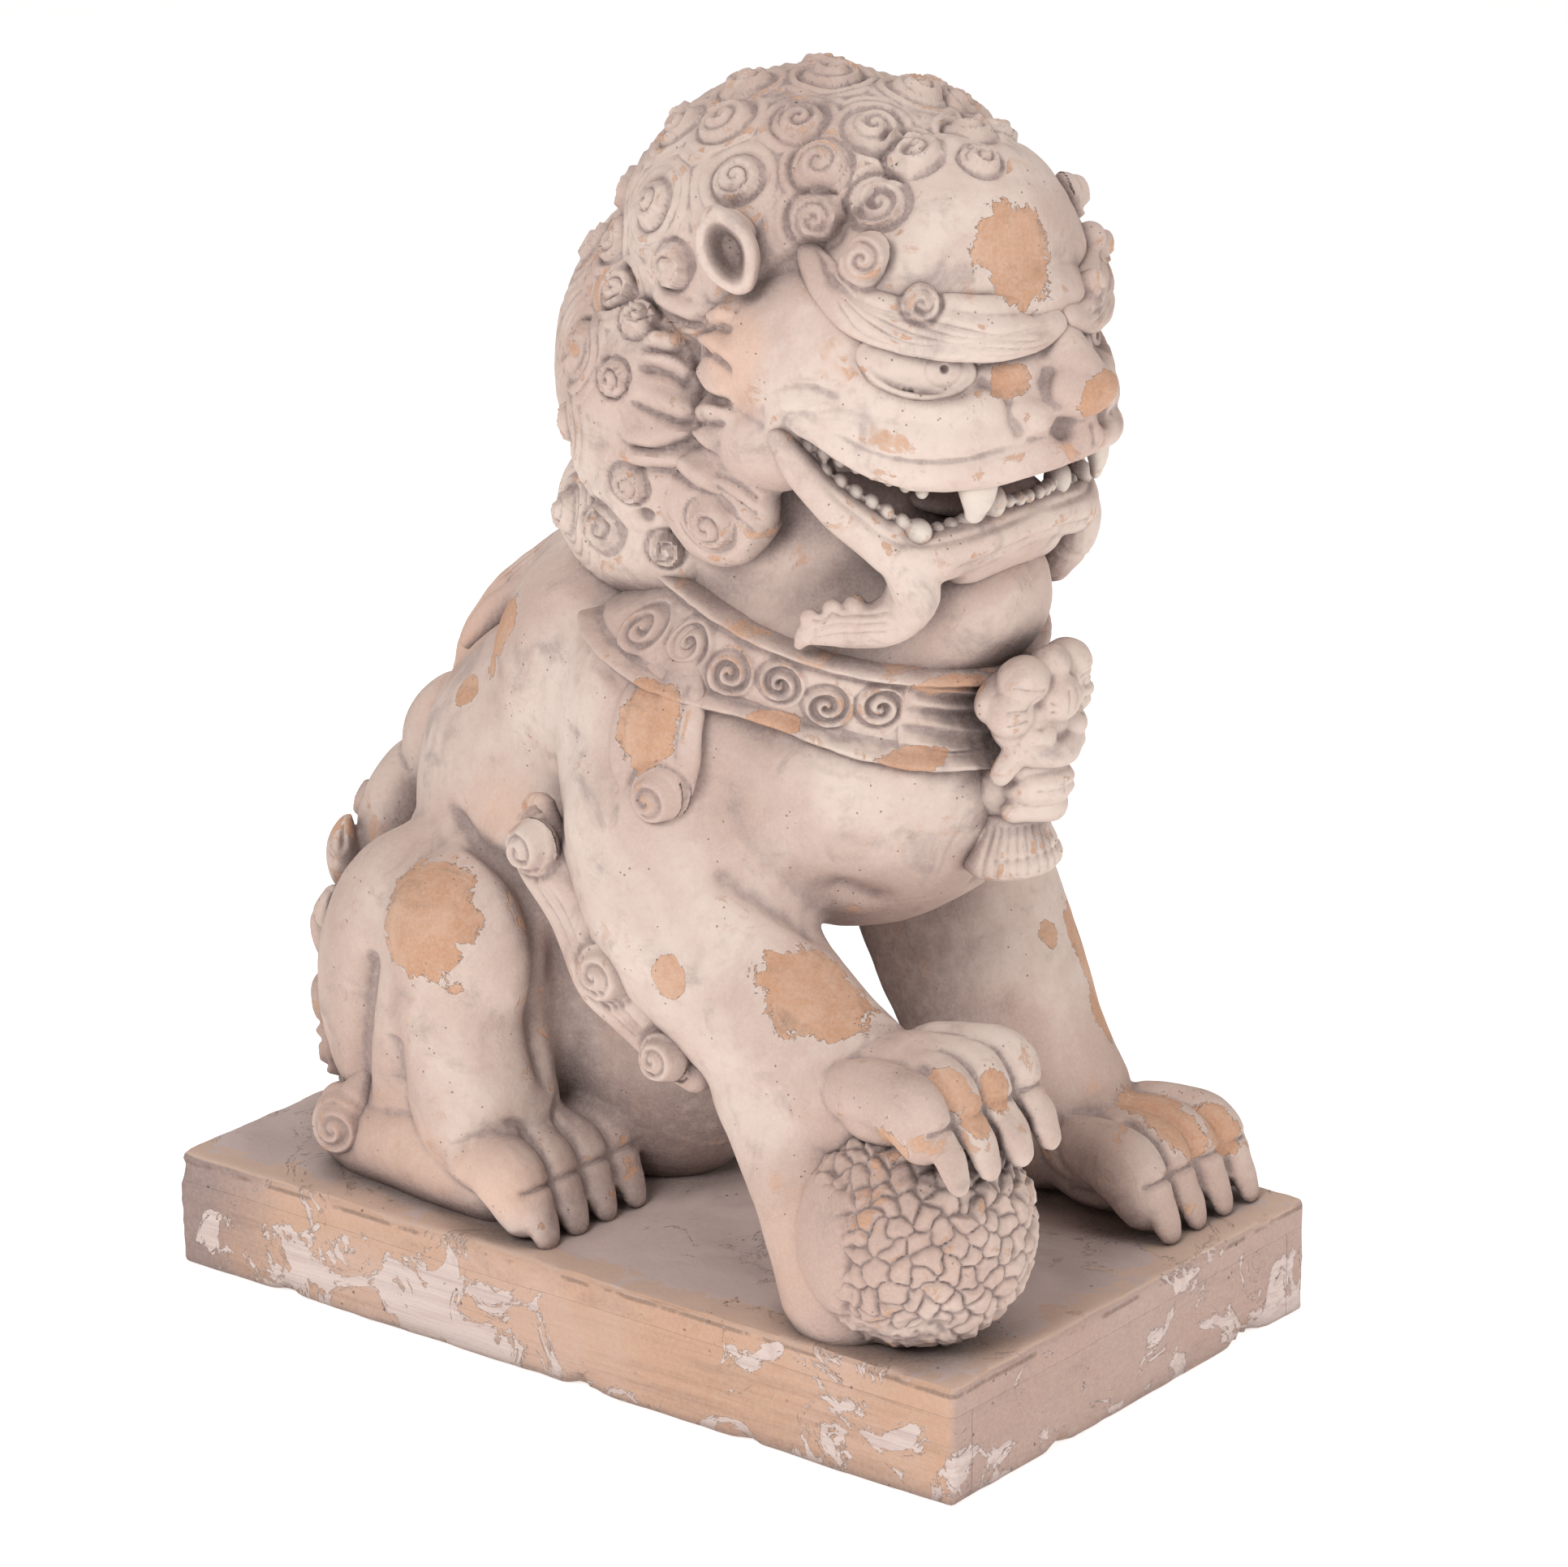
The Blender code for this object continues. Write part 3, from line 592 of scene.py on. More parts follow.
def slip_over_clay(name, cover=1.0, hair=0.0, pale=SLIP_PALE, pink=SLIP_PINK):
    """Pinkish slip brushed over terracotta, flaked where it was knocked, with dust and painted shade grey in the
    hollows.
    """
    m = Recipe(name)
    sheltered, bare, warm = m.layer("sheltered"), m.layer("bare"), m.layer("warm")
    cloud = m.noise(9.0, 5.0, 0.6, 0.4)
    drift = m.noise(34.0, 5.0, 0.62, 0.6)
    fleck = m.noise(150.0, 4.0, 0.6)
    grit = m.noise(620.0, 3.0, 0.6)
    # ambient occlusion at two reaches, read for painted shade in the creases and hollows
    shade = m.corner(0.035)
    hollow = m.corner(0.16)

    slip = m.mix(m.span(cloud, 0.36, 0.66), pale, pink)
    slip = m.mix(m.span(drift, 0.52, 0.74, 0.0, 0.60), slip, SLIP_MAUVE)
    slip = m.mix(m.span(fleck, 0.48, 0.74, 0.0, 0.42), slip, pink)
    slip = m.mix(m.span(m.sums("MULTIPLY_ADD", drift, 0.5, warm), 0.62, 0.98, 0.0, 0.62),
                 slip, (0.72, 0.45, 0.33))
    # lower down, the slip is thinner and the clay warms it
    low = m.span(m.parts(m.place)[2], 0.32, 0.09, 0.0, 0.55)
    slip = m.mix(m.sums("MULTIPLY", low, m.span(cloud, 0.30, 0.60)), slip, (0.53, 0.365, 0.295))
    # hollows keep the dust; this mask is also painted shade, darkening creases and hollows to mauve
    dust = m.sums("ADD", m.span(sheltered, 0.53, 1.0, 0.0, 0.62), m.span(shade, 0.84, 0.32, 0.0, 0.78))
    dust = m.sums("ADD", dust, m.span(hollow, 0.72, 0.24, 0.0, 0.80))
    dust = m.sums("MULTIPLY", dust, m.span(fleck, 0.25, 0.60, 0.55, 1.1))
    slip = m.mix(m.sums("MINIMUM", dust, 0.9), slip, SLIP_MAUVE)
    # painted shade: near-black in the deepest creases
    slip = m.mix(m.span(shade, 0.46, 0.10, 0.0, 0.90), slip, SOOT_AND_SHADE)

    clay = m.mix(m.span(m.noise(26.0, 6.0, 0.7, 0.8), 0.35, 0.68), CLAY_ORANGE, CLAY_TAN)
    scrape = m.noise(60.0, 6.0, 0.7, 0.3, m.stretch((1.0, 0.22, 1.0)))
    clay = m.mix(m.span(scrape, 0.52, 0.72, 0.0, 0.65), clay, (0.37, 0.215, 0.14))
    # painted shade: mauve on the bare clay in the creases
    clay = m.mix(m.span(shade, 0.7, 0.2, 0.0, 0.7), clay, SLIP_MAUVE)

    # ragged edge of the flaked places, and small wear on the crests
    ragged = m.sums("MULTIPLY_ADD", m.noise(62.0, 8.0, 0.72, 1.1), 0.62, bare)
    ragged = m.sums("MULTIPLY_ADD", cloud, 0.12, ragged)
    ragged = m.sums("MULTIPLY_ADD", drift, 0.50, ragged)
    edge = 0.880 / cover + 0.25
    gone = m.span(ragged, edge - 0.006, edge + 0.006)
    crest = m.span(sheltered, 0.46 - 0.10 * hair, 0.22)
    rub = m.sums("MULTIPLY", crest, m.span(m.noise(48.0, 5.0, 0.66, 0.7), 0.585 - 0.03 * hair, 0.64))
    gone = m.sums("MAXIMUM", gone, m.sums("MULTIPLY", rub, 0.9))
    rim = m.sums("SUBTRACT", m.span(ragged, edge - 0.030, edge - 0.006),
                 m.span(ragged, edge - 0.006, edge + 0.004))
    slip = m.mix(m.sums("MULTIPLY", rim, 0.55), slip, CHALK)
    colour = m.mix(gone, slip, clay)
    crack = m.sums("SUBTRACT", m.span(ragged, edge - 0.008, edge), m.span(ragged, edge, edge + 0.010))
    colour = m.mix(m.sums("MULTIPLY", crack, 0.55), colour, SOOT_AND_SHADE)
    # pin holes, dented a little and painted dark as the shade in them, and pale specks
    holes = m.span(m.cells(210.0), 0.115, 0.07)
    some = m.span(m.noise(40.0, 2.0), 0.55, 0.62)
    holes = m.sums("MULTIPLY", holes, some)
    colour = m.mix(m.sums("MULTIPLY", holes, 0.6), colour, SOOT_AND_SHADE)
    colour = m.mix(m.span(grit, 0.30, 0.72, 0.0, 0.16), colour, CHALK)
    height = m.sums("MULTIPLY_ADD", grit, 0.10, m.sums("MULTIPLY", fleck, 0.35))
    height = m.sums("MULTIPLY_ADD", gone, -0.42, height)
    height = m.sums("MULTIPLY_ADD", holes, -0.8, height)
    height = m.sums("MULTIPLY_ADD", scrape, m.sums("MULTIPLY", gone, 0.4), height)
    return m.finish(colour, 0.88, 0.22, m.bump(height, 0.0017, 0.95))


def plinth_clay(name, top):
    """Slab clay: wood-grain streaks from the board, dust on top, slip left in flakes on the sides."""
    m = Recipe(name)
    cloud = m.noise(7.0, 5.0, 0.62, 0.5)
    board = m.noise(16.0, 7.0, 0.72, 0.35, m.stretch((1.0, 0.16, 3.2) if not top else (1.0, 0.5, 1.0)))
    fine = m.noise(90.0, 6.0, 0.7, 0.4, m.stretch((1.0, 0.10, 4.0) if not top else (1.0, 1.0, 1.0)))
    grit = m.noise(520.0, 3.0, 0.6)
    shade = m.corner(0.03)
    x, y, z = m.parts(m.place)
    clay = m.mix(m.span(cloud, 0.35, 0.65), (0.590, 0.360, 0.245), (0.610, 0.415, 0.325))
    clay = m.mix(m.span(board, 0.48, 0.70, 0.0, 0.8), clay, (0.38, 0.235, 0.170))
    clay = m.mix(m.span(fine, 0.58, 0.74, 0.0, 0.45), clay, (0.36, 0.25, 0.20))
    # the end slabs are greyer than the long ones
    front = m.span(y, -0.2385, -0.2405)
    clay = m.mix(m.sums("MULTIPLY", front, 0.60), clay, (0.42, 0.312, 0.295))
    corner = m.span(m.sums("MULTIPLY_ADD", cloud, 0.12, y), 0.215, 0.285, 0.0, 0.85)
    clay = m.mix(corner, clay, SLIP_MAUVE)
    # a cut line under the top arris, painted dark as the shade in its groove, broken where it filled with dust
    line = m.sums("MULTIPLY", m.span(z, 0.0540, 0.0552), m.span(z, 0.0574, 0.0562))
    line = m.sums("MULTIPLY", line, m.span(m.noise(30.0, 4.0, 0.6), 0.46, 0.54))
    clay = m.mix(m.sums("MULTIPLY", line, 0.65), clay, (0.20, 0.13, 0.10))
    # slip left in flakes
    flake = m.noise(25.0, 9.0, 0.70, 1.2)
    run = m.noise(5.5, 3.0, 0.5, 0.2)
    left = m.sums("MULTIPLY_ADD", run, 0.42, flake)
    left = m.sums("MULTIPLY_ADD", m.span(z, 0.045, 0.004), 0.055, left)
    edge = 0.792
    on = m.span(left, edge - 0.004, edge + 0.004)
    lip = m.sums("SUBTRACT", m.span(left, edge - 0.012, edge - 0.003), m.span(left, edge, edge + 0.008))
    slip = m.mix(m.span(fine, 0.40, 0.66), (0.70, 0.575, 0.525), (0.58, 0.450, 0.410))
    colour = m.mix(on, clay, slip)
    if top:
        dust = m.mix(m.span(cloud, 0.36, 0.64), (0.69, 0.550, 0.510), (0.55, 0.430, 0.400))
        dust = m.mix(m.span(board, 0.50, 0.70, 0.0, 0.65), dust, (0.66, 0.545, 0.50))
        dust = m.mix(m.span(flake, 0.60, 0.66, 0.0, 0.7), dust, (0.60, 0.40, 0.30))
        near_edge = m.sums("MAXIMUM", m.span(x, -0.110, -0.140), m.span(y, -0.200, -0.236))
        worn = m.span(m.sums("MULTIPLY_ADD", near_edge, 0.30, flake), 0.66, 0.70, 0.0, 0.75)
        dust = m.mix(worn, dust, (0.68, 0.47, 0.35))
        facing = m.tree.nodes.new("ShaderNodeNewGeometry").outputs["Normal"]
        colour = m.mix(m.span(m.parts(facing)[2], 0.55, 0.85), colour, dust)
    colour = m.mix(m.sums("MULTIPLY", lip, 0.28), colour, (0.30, 0.20, 0.165))
    # painted shade: darker in corners, along the floor and where the statue stands on the deck
    colour = m.mix(m.span(shade, 0.75, 0.25, 0.0, 0.8), colour, (0.20, 0.145, 0.125))
    # pin holes, painted dark as the shade in them
    holes = m.sums("MULTIPLY", m.span(m.cells(150.0), 0.13, 0.06), m.span(m.noise(30.0, 2.0), 0.56, 0.62))
    colour = m.mix(m.sums("MULTIPLY", holes, 0.7), colour, SOOT_AND_SHADE)
    colour = m.mix(m.span(grit, 0.30, 0.72, 0.0, 0.12), colour, CHALK)
    height = m.sums("MULTIPLY_ADD", grit, 0.12, m.sums("MULTIPLY", fine, 0.5))
    height = m.sums("MULTIPLY_ADD", on, 0.5, height)
    height = m.sums("MULTIPLY_ADD", board, 0.7, height)
    height = m.sums("MULTIPLY_ADD", holes, -0.9, height)
    return m.finish(colour, 0.9, 0.2, m.bump(height, 0.0013, 0.9))


# ---------------------------------------------------------------- handing a piece over
def crisp_edges(bm, limit):
    """Keep an edge crisp where the skin turns by more than limit, in radians."""
    for e in bm.edges:
        if len(e.link_faces) == 2 and e.calc_face_angle(0.0) > limit:
            e.smooth = False


def hand_over(obj, name, nodes, mat, with_wear_and_shade_maps=True, crisp=None):
    """Name a finished piece, give it its finish and seat it on the statue.
    Sharper edges than crisp degrees stay crisp."""
    obj.name = name
    obj.data.name = name
    obj.data.materials.clear()
    obj.data.materials.append(mat)
    obj.data.polygons.foreach_set("use_smooth", np.ones(len(obj.data.polygons), bool))
    if with_wear_and_shade_maps:
        record_wear_and_shade_maps(obj)
    if crisp:
        bm = bmesh.new()
        bm.from_mesh(obj.data)
        crisp_edges(bm, math.radians(crisp))
        bm.to_mesh(obj.data)
        bm.free()
    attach(obj, "root")
    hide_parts(*nodes)


def done(skin, node, mat):
    """Hand over the piece that a skin was worked on, under its node's name."""
    skin.write()
    hand_over(skin.obj, node + "_clay", [node], mat)


def below(axis, place):
    """A cut that keeps what lies below place along an axis."""
    return axis * place, axis


def above(axis, place):
    """A cut that keeps what lies above place along an axis."""
    return axis * place, -axis


CUT_ANGLE = 0.9           # a flat cut meets the skin more sharply than this


def cut_out(source, name, planes):
    """The part of a fused skin on the inner side of each (point, outward) plane, closed flat."""
    bm = bmesh.new()
    bm.from_mesh(source.data)
    for point, outward in planes:
        geom = bm.verts[:] + bm.edges[:] + bm.faces[:]
        bmesh.ops.bisect_plane(bm, geom=geom, dist=1e-6, plane_co=point, plane_no=outward, clear_outer=True)
        rim = [e for e in bm.edges if len(e.link_faces) == 1]
        if rim:
            bmesh.ops.holes_fill(bm, edges=rim, sides=0)
    crisp_edges(bm, CUT_ANGLE)
    bmesh.ops.triangulate(bm, faces=[f for f in bm.faces if len(f.verts) > 4])
    mesh = bpy.data.meshes.new(name)
    bm.to_mesh(mesh)
    bm.free()
    obj = bpy.data.objects.new(name, mesh)
    WORK.objects.link(obj)
    return obj


# ---------------------------------------------------------------- plinth
PLINTH_MIDDLE = np.array((0.0, 0.0, 0.030))
PLINTH_HALF = np.array((0.148, 0.242, 0.030))
DECK_GRID, WALL_GRID = 0.0030, 0.0028
WALL_TOP = 0.0449                             # just under the deck
KNOCKS = [                                    # (x, y, z, radius) of the chips out of the arrises
    (-0.148, -0.205, 0.060, 0.010), (-0.148, -0.02, 0.002, 0.014), (0.10, -0.242, 0.0, 0.020),
    (-0.06, -0.242, 0.0, 0.012), (-0.148, 0.10, 0.062, 0.007), (0.148, 0.12, 0.060, 0.012),
    (0.03, 0.242, 0.060, 0.010), (0.148, -0.15, 0.0, 0.014), (-0.148, 0.242, 0.052, 0.012),
    (-0.148, -0.12, 0.0, 0.010), (-0.148, 0.17, 0.0, 0.012), (-0.03, 0.242, 0.0, 0.012),
]


def slab(node, low, high, grid, mat):
    """A clay slab with worn arrises and a board-pressed face."""
    bpy.ops.object.select_all(action="DESELECT")
    bpy.ops.mesh.primitive_cube_add(size=1.0)
    obj = bpy.context.active_object
    size = [b - a for a, b in zip(low, high)]
    mid = [(a + b) / 2 for a, b in zip(low, high)]
    obj.data.transform(Matrix.Translation(mid) @ Matrix.Diagonal((*size, 1.0)))
    bm = bmesh.new()
    bm.from_mesh(obj.data)
    for axis in range(3):
        steps = max(1, round(size[axis] / grid))
        along = (X, Y, Z)[axis]
        for k in range(1, steps):
            place = tuple(along * (low[axis] + size[axis] * k / steps))
            geom = bm.verts[:] + bm.edges[:] + bm.faces[:]
            bmesh.ops.bisect_plane(bm, geom=geom, dist=1e-7, plane_co=place, plane_no=along)
    bm.to_mesh(obj.data)
    bm.free()
    skin = Skin(obj)
    p = skin.p
    half = PLINTH_HALF
    q = p - PLINTH_MIDDLE
    # round the whole plinth's outer arrises, unevenly
    worn = 0.0035 + 0.0022 * np.clip(uneven(p, 0.035, 3), 0, 1) + 0.0012 * uneven(p, 0.010, 5)
    worn = np.clip(worn, 0.0012, 0.008)
    inner = np.maximum(np.abs(q) - (half - worn[:, None]), 0)
    length = np.linalg.norm(inner, axis=1)
    over = length > worn
    shrink = np.where(over, worn / np.maximum(length, 1e-9), 1.0)
    outer = np.sign(q) * (np.minimum(np.abs(q), half - worn[:, None]) + inner * shrink[:, None])
    edge_like = (inner > 0).sum(1) >= 2
    p[edge_like] = (outer + PLINTH_MIDDLE)[edge_like]
    # board-pressed faces are never quite flat
    face = np.abs(np.abs(q) - half) < 1e-5
    wave = 0.0009 * uneven(p, 0.11, 7) + 0.0005 * uneven(p, 0.03, 8) + 0.0002 * uneven(p, 0.008, 9)
    streak = 0.0004 * uneven(p * np.array((1.0, 0.14, 1.0)), 0.005, 11)
    for axis in (0, 1):
        on = face[:, axis]
        p[on, axis] += np.sign(q[on, axis]) * (wave + streak)[on] - np.sign(q[on, axis]) * 0.0006
    top = face[:, 2] & (q[:, 2] > 0)
    p[top, 2] += (1.3 * wave + 0.0005 * uneven(p, 0.016, 12))[top] - 0.0004
    # knocks along the arrises
    for cx, cy, cz, r in KNOCKS:
        d = np.linalg.norm(p - (cx, cy, cz), axis=1)
        near = d < r
        pull = (1 - d[near] / r) ** 1.5 * r * 0.22 * (1 + 0.6 * uneven(p[near], 0.004, 13))
        toward = -q[near] / half
        toward[np.abs(toward) < 0.80] = 0
        p[near] += toward * pull[:, None]
    p[:, 2] = np.maximum(p[:, 2], 0.0)
    skin.write()
    hand_over(obj, node + "_slab", [node], mat, with_wear_and_shade_maps=False, crisp=40.0)


def make_plinth():
    """A deck slab on four wall slabs; the rib below keeps its plain shape."""
    deck_clay = plinth_clay("dusty_deck_clay", True)
    side_clay = plinth_clay("board_pressed_side_clay", False)
    for node in ("plinth_deck", "plinth_wall_right", "plinth_wall_left", "plinth_wall_front", "plinth_wall_back"):
        low, high = [list(c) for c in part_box(node)]
        low[2] = max(low[2], 0.0)
        if node == "plinth_deck":
            slab(node, low, high, DECK_GRID, deck_clay)
        else:
            high[2] = WALL_TOP
            slab(node, low, high, WALL_GRID, side_clay)
    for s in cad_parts["plinth_rib"].material_slots:
        s.material = side_clay


# ---------------------------------------------------------------- body
def make_body(slip):
    """Trunk, neck and legs, modelled as one and cut where the potter's pieces meet."""
    parts = [
        lump(0, -0.078, 0.292, 0.098, 0.088, 0.076), lump(0, -0.055, 0.360, 0.095, 0.100, 0.060),
        lump(0, -0.050, 0.420, 0.088, 0.090, 0.060), lump(0, -0.124, 0.385, 0.055, 0.050, 0.042),
        lump(0, 0.030, 0.320, 0.100, 0.090, 0.090), lump(0, 0.075, 0.250, 0.100, 0.100, 0.100),
        lump(0, 0.105, 0.170, 0.100, 0.085, 0.118), lump(0, 0.045, 0.165, 0.072, 0.080, 0.115),
    ]
    parts += both(lump, 0.078, -0.022, 0.310, 0.045, 0.060, 0.075)
    parts.append(roll([(-0.086, -0.022, 0.285, 0.052), (-0.094, -0.050, 0.238, 0.051),
                       (-0.101, -0.096, 0.199, 0.043), (-0.103, -0.149, 0.172, 0.037)], sides=40, step=0.006))
    parts.append(roll([(-0.104, -0.108, 0.168, 0.036), (-0.112, -0.140, 0.125, 0.034),
                       (-0.112, -0.156, 0.075, 0.033)], sides=36, step=0.006))
    parts.append(lump(-0.103, -0.182, 0.180, 0.036, 0.036, 0.025))
    parts.append(roll([(0.085, -0.030, 0.280, 0.050), (0.085, -0.060, 0.225, 0.051),
                       (0.085, -0.088, 0.165, 0.050), (0.088, -0.108, 0.125, 0.046),
                       (0.092, -0.132, 0.095, 0.040)], sides=40, step=0.006))
    parts.append(lump(0.095, -0.170, 0.080, 0.040, 0.045, 0.026))
    # right fore toes grip the ball, with broad worn claws
    for n in range(4):
        x = -0.131 + 0.0200 * n
        out = (n - 1.5) * 0.0035
        parts.append(roll([(x, -0.172, 0.186, 0.0150), (x + out * 0.5, -0.192, 0.188, 0.0160),
                           (x + out, -0.207, 0.186, 0.0176), (x + out, -0.215, 0.176, 0.0145)], step=0.003))
        parts.append(roll([(x + out, -0.221, 0.178, 0.0100), (x + out * 1.1, -0.2300, 0.168, 0.0102),
                           (x + out * 1.2, -0.2345, 0.1590, 0.0084)], flat=0.42, face=(0, -0.90, 0.44),
                           step=0.002))
    parts.append(lump(-0.103, -0.184, 0.176, 0.040, 0.030, 0.020))
    # left fore toes stand on the deck
    for n in range(4):
        x = 0.064 + 0.0195 * n
        out = (n - 1.5) * 0.0035
        parts.append(roll([(x, -0.160, 0.094, 0.0155), (x + out * 0.6, -0.180, 0.0950, 0.0165),
                           (x + out, -0.195, 0.091, 0.0180), (x + out, -0.205, 0.078, 0.0150)], step=0.003))
        parts.append(roll([(x + out, -0.207, 0.086, 0.0100), (x + out, -0.2155, 0.076, 0.0102),
                           (x + out, -0.2200, 0.0665, 0.0088)], flat=0.48, face=(0, -0.80, 0.60), step=0.002))
    # hind legs, folded
    parts += both(lump, 0.086, 0.120, 0.155, 0.044, 0.070, 0.088)
    parts += both(lump, 0.104, 0.086, 0.192, 0.034, 0.044, 0.048)
    parts += both(roll, [(0.104, 0.086, 0.170, 0.036), (0.104, 0.076, 0.120, 0.036),
                         (0.100, 0.070, 0.090, 0.033)],
                  sides=36, step=0.006)
    parts += both(roll, [(0.098, 0.155, 0.080, 0.026), (0.098, 0.085, 0.084, 0.034),
                         (0.096, 0.062, 0.084, 0.036)],
                  sides=36, step=0.006)
    for n in range(4):
        x = 0.066 + 0.0195 * n
        out = (n - 1.5) * 0.003
        parts += both(roll, [(x, 0.064, 0.094, 0.0155), (x + out * 0.6, 0.050, 0.094, 0.0165),
                             (x + out, 0.038, 0.090, 0.0178), (x + out, 0.029, 0.077, 0.0145)], step=0.003)
        parts += both(roll, [(x + out, 0.027, 0.083, 0.0098), (x + out, 0.0195, 0.074, 0.0100),
                             (x + out, 0.0160, 0.0660, 0.0085)], flat=0.5, face=(0, -0.80, 0.60), step=0.002)
    body = fuse(parts, 0.00175, 7)

    s = Skin(body)
    # stroke the trunk and thighs smooth, leaving the feet crisp
    calm = spread(body.data, s.p, 60)
    keep = ease(s.p[:, 2], 0.115, 0.150) * ease(s.p[:, 1], -0.165, -0.140)
    s.p += (calm - s.p) * keep[:, None]
    s.fresh()
    # the thigh against the belly, the ham behind it, the cannon bone
    s.stroke([(0.100, 0.118, 0.262), (0.102, 0.080, 0.244), (0.098, 0.052, 0.226), (0.096, 0.038, 0.190),
              (0.098, 0.036, 0.150), (0.096, 0.040, 0.118)], 0.012, 0.0060, mirror=True)
    s.stroke([(0.098, 0.100, 0.250), (0.106, 0.074, 0.236), (0.110, 0.054, 0.208), (0.112, 0.050, 0.160)],
             0.020, -0.0035, mirror=True)
    s.stroke([(0.124, 0.128, 0.192), (0.126, 0.132, 0.160), (0.122, 0.140, 0.120), (0.116, 0.146, 0.100)],
             0.014, 0.0085, mirror=True)
    s.stroke([(0.128, 0.108, 0.150), (0.124, 0.108, 0.120)], 0.020, 0.0025, mirror=True)
    s.push((0.132, 0.078, 0.214), (0.030, 0.026, 0.028), -0.0045, mirror=True)
    # shoulder over the upper arm and the fold under the chest
    s.stroke([(0.112, -0.060, 0.262), (0.104, -0.098, 0.256), (0.078, -0.126, 0.246), (0.052, -0.140, 0.232)],
             0.016, 0.0045, mirror=True)
    s.stroke([(0.120, 0.010, 0.330), (0.124, 0.014, 0.290),
              (0.122, 0.018, 0.262)], 0.026, 0.0035, mirror=True)
    s.stroke([(0.094, 0.040, 0.385), (0.108, 0.046, 0.340),
              (0.112, 0.052, 0.300)], 0.022, 0.0022, mirror=True)
    s.stroke([(0.110, -0.030, 0.385), (0.124, -0.010, 0.350)], 0.022, 0.0020, mirror=True)
    # breast bone and belly line
    s.stroke([(0.0, -0.165, 0.300), (0.0, -0.160, 0.260), (0.0, -0.140, 0.236)], 0.018, 0.0030)
    s.fresh()
    # toe gaps, claw sheaths and pads
    for n in range(3):
        x = -0.121 + 0.0200 * n
        s.stroke([(x, -0.196, 0.206), (x + (n - 1) * 0.002, -0.208, 0.200),
                  (x + (n - 1) * 0.004, -0.222, 0.180), (x + (n - 1) * 0.004, -0.230, 0.160)], 0.0046, 0.0026)
        x = 0.0738 + 0.0195 * n
        s.stroke([(x, -0.178, 0.113), (x + (n - 1) * 0.002, -0.192, 0.108),
                  (x + (n - 1) * 0.004, -0.210, 0.092), (x + (n - 1) * 0.004, -0.218, 0.070)], 0.0048, 0.0028)
        x = 0.0758 + 0.0195 * n
        s.stroke([(x, 0.064, 0.116), (x, 0.044, 0.110), (x + (n - 1) * 0.003, 0.026, 0.092),
                  (x + (n - 1) * 0.003, 0.020, 0.070)], 0.0048, 0.0028, mirror=True)
    for n in range(4):
        x = -0.131 + 0.0200 * n + (n - 1.5) * 0.0035
        s.stroke([(x - 0.010, -0.221, 0.179), (x, -0.228, 0.181), (x + 0.010, -0.221, 0.179)], 0.0036, 0.0026)
        x = 0.064 + 0.0195 * n + (n - 1.5) * 0.0035
        s.stroke([(x - 0.011, -0.208, 0.088), (x, -0.214, 0.090), (x + 0.011, -0.208, 0.088)], 0.0038, 0.0028)
        x = 0.066 + 0.0195 * n + (n - 1.5) * 0.003
        s.stroke([(x - 0.011, 0.026, 0.087), (x, 0.020, 0.089), (x + 0.011, 0.026, 0.087)], 0.0038, 0.0026,
                 mirror=True)
    s.push((0.082, -0.092, 0.436), (0.024, 0.034, 0.022), 0.011, mirror=True)
    s.stroke([(0.060, -0.152, 0.112), (0.048, -0.160, 0.096), (0.046, -0.170, 0.080)], 0.006, 0.0018)
    s.stroke([(0.056, -0.190, 0.078), (0.050, -0.176, 0.070), (0.048, -0.160, 0.070)], 0.008, 0.0035)
    s.push((0.053, -0.188, 0.080), (0.006, 0.010, 0.012), 0.004)
    s.rough(0.060, 0.0016, 1)
    s.rough(0.018, 0.0006, 2)
    s.rough(0.006, 0.00018, 3)
    s.p[:, 2] = np.maximum(s.p[:, 2], DECK_TOP - 0.004)
    s.write()

    # where the potter's pieces meet
    waist, wrist, ankle, hock = 0.030, -0.158, 0.114, 0.112
    collar, elbow, hip = 0.352, 0.246, 0.262
    leg, thigh = 0.045, 0.060
    front, back = below(Y, waist), above(Y, waist)
    record_wear_and_shade_maps(body)
    quarters = {}
    for tag, planes in (("front_top", [front, above(Z, elbow)]), ("front_low", [front, below(Z, elbow)]),
                        ("back_top", [back, above(Z, hip)]), ("back_low", [back, below(Z, hip)])):
        quarters[tag] = cut_out(body, tag, planes)
    for name, node, quarter, planes in (
            ("neck", "neck_section", "front_top", [above(Z, collar)]),
            ("chest", "chest_section", "front_top", [below(Z, collar)]),
            ("haunch", "haunch_section", "back_top", []),
            ("rump", "haunch_section", "back_low", [above(X, -thigh), below(X, thigh)]),
            ("belly", "belly_section", "front_low", [above(X, -leg), below(X, leg)]),
            ("foreleg_right", "foreleg_right", "front_low", [below(X, -leg), above(Y, wrist)]),
            ("fore_paw_right", "fore_paw_right", "front_low", [below(X, -leg), below(Y, wrist)]),
            ("foreleg_left", "foreleg_left", "front_low", [above(X, leg), above(Z, ankle)]),
            ("fore_paw_left", "fore_paw_left", "front_low", [above(X, leg), below(Z, ankle)]),
            ("hind_leg_right", "hind_leg_right", "back_low", [below(X, -thigh), above(Z, hock)]),
            ("hind_paw_right", "hind_paw_right", "back_low", [below(Z, hock), below(X, -thigh)]),
            ("hind_leg_left", "hind_leg_left", "back_low", [above(X, thigh), above(Z, hock)]),
            ("hind_paw_left", "hind_paw_left", "back_low", [below(Z, hock), above(X, thigh)])):
        piece = cut_out(quarters[quarter], name, planes)
        hand_over(piece, name + "_clay", [node], slip, with_wear_and_shade_maps=False)
    tree = BVHTree.FromObject(body, bpy.context.evaluated_depsgraph_get())
    for spare in [body] + list(quarters.values()):
        bpy.data.objects.remove(spare, do_unlink=True)
    return tree


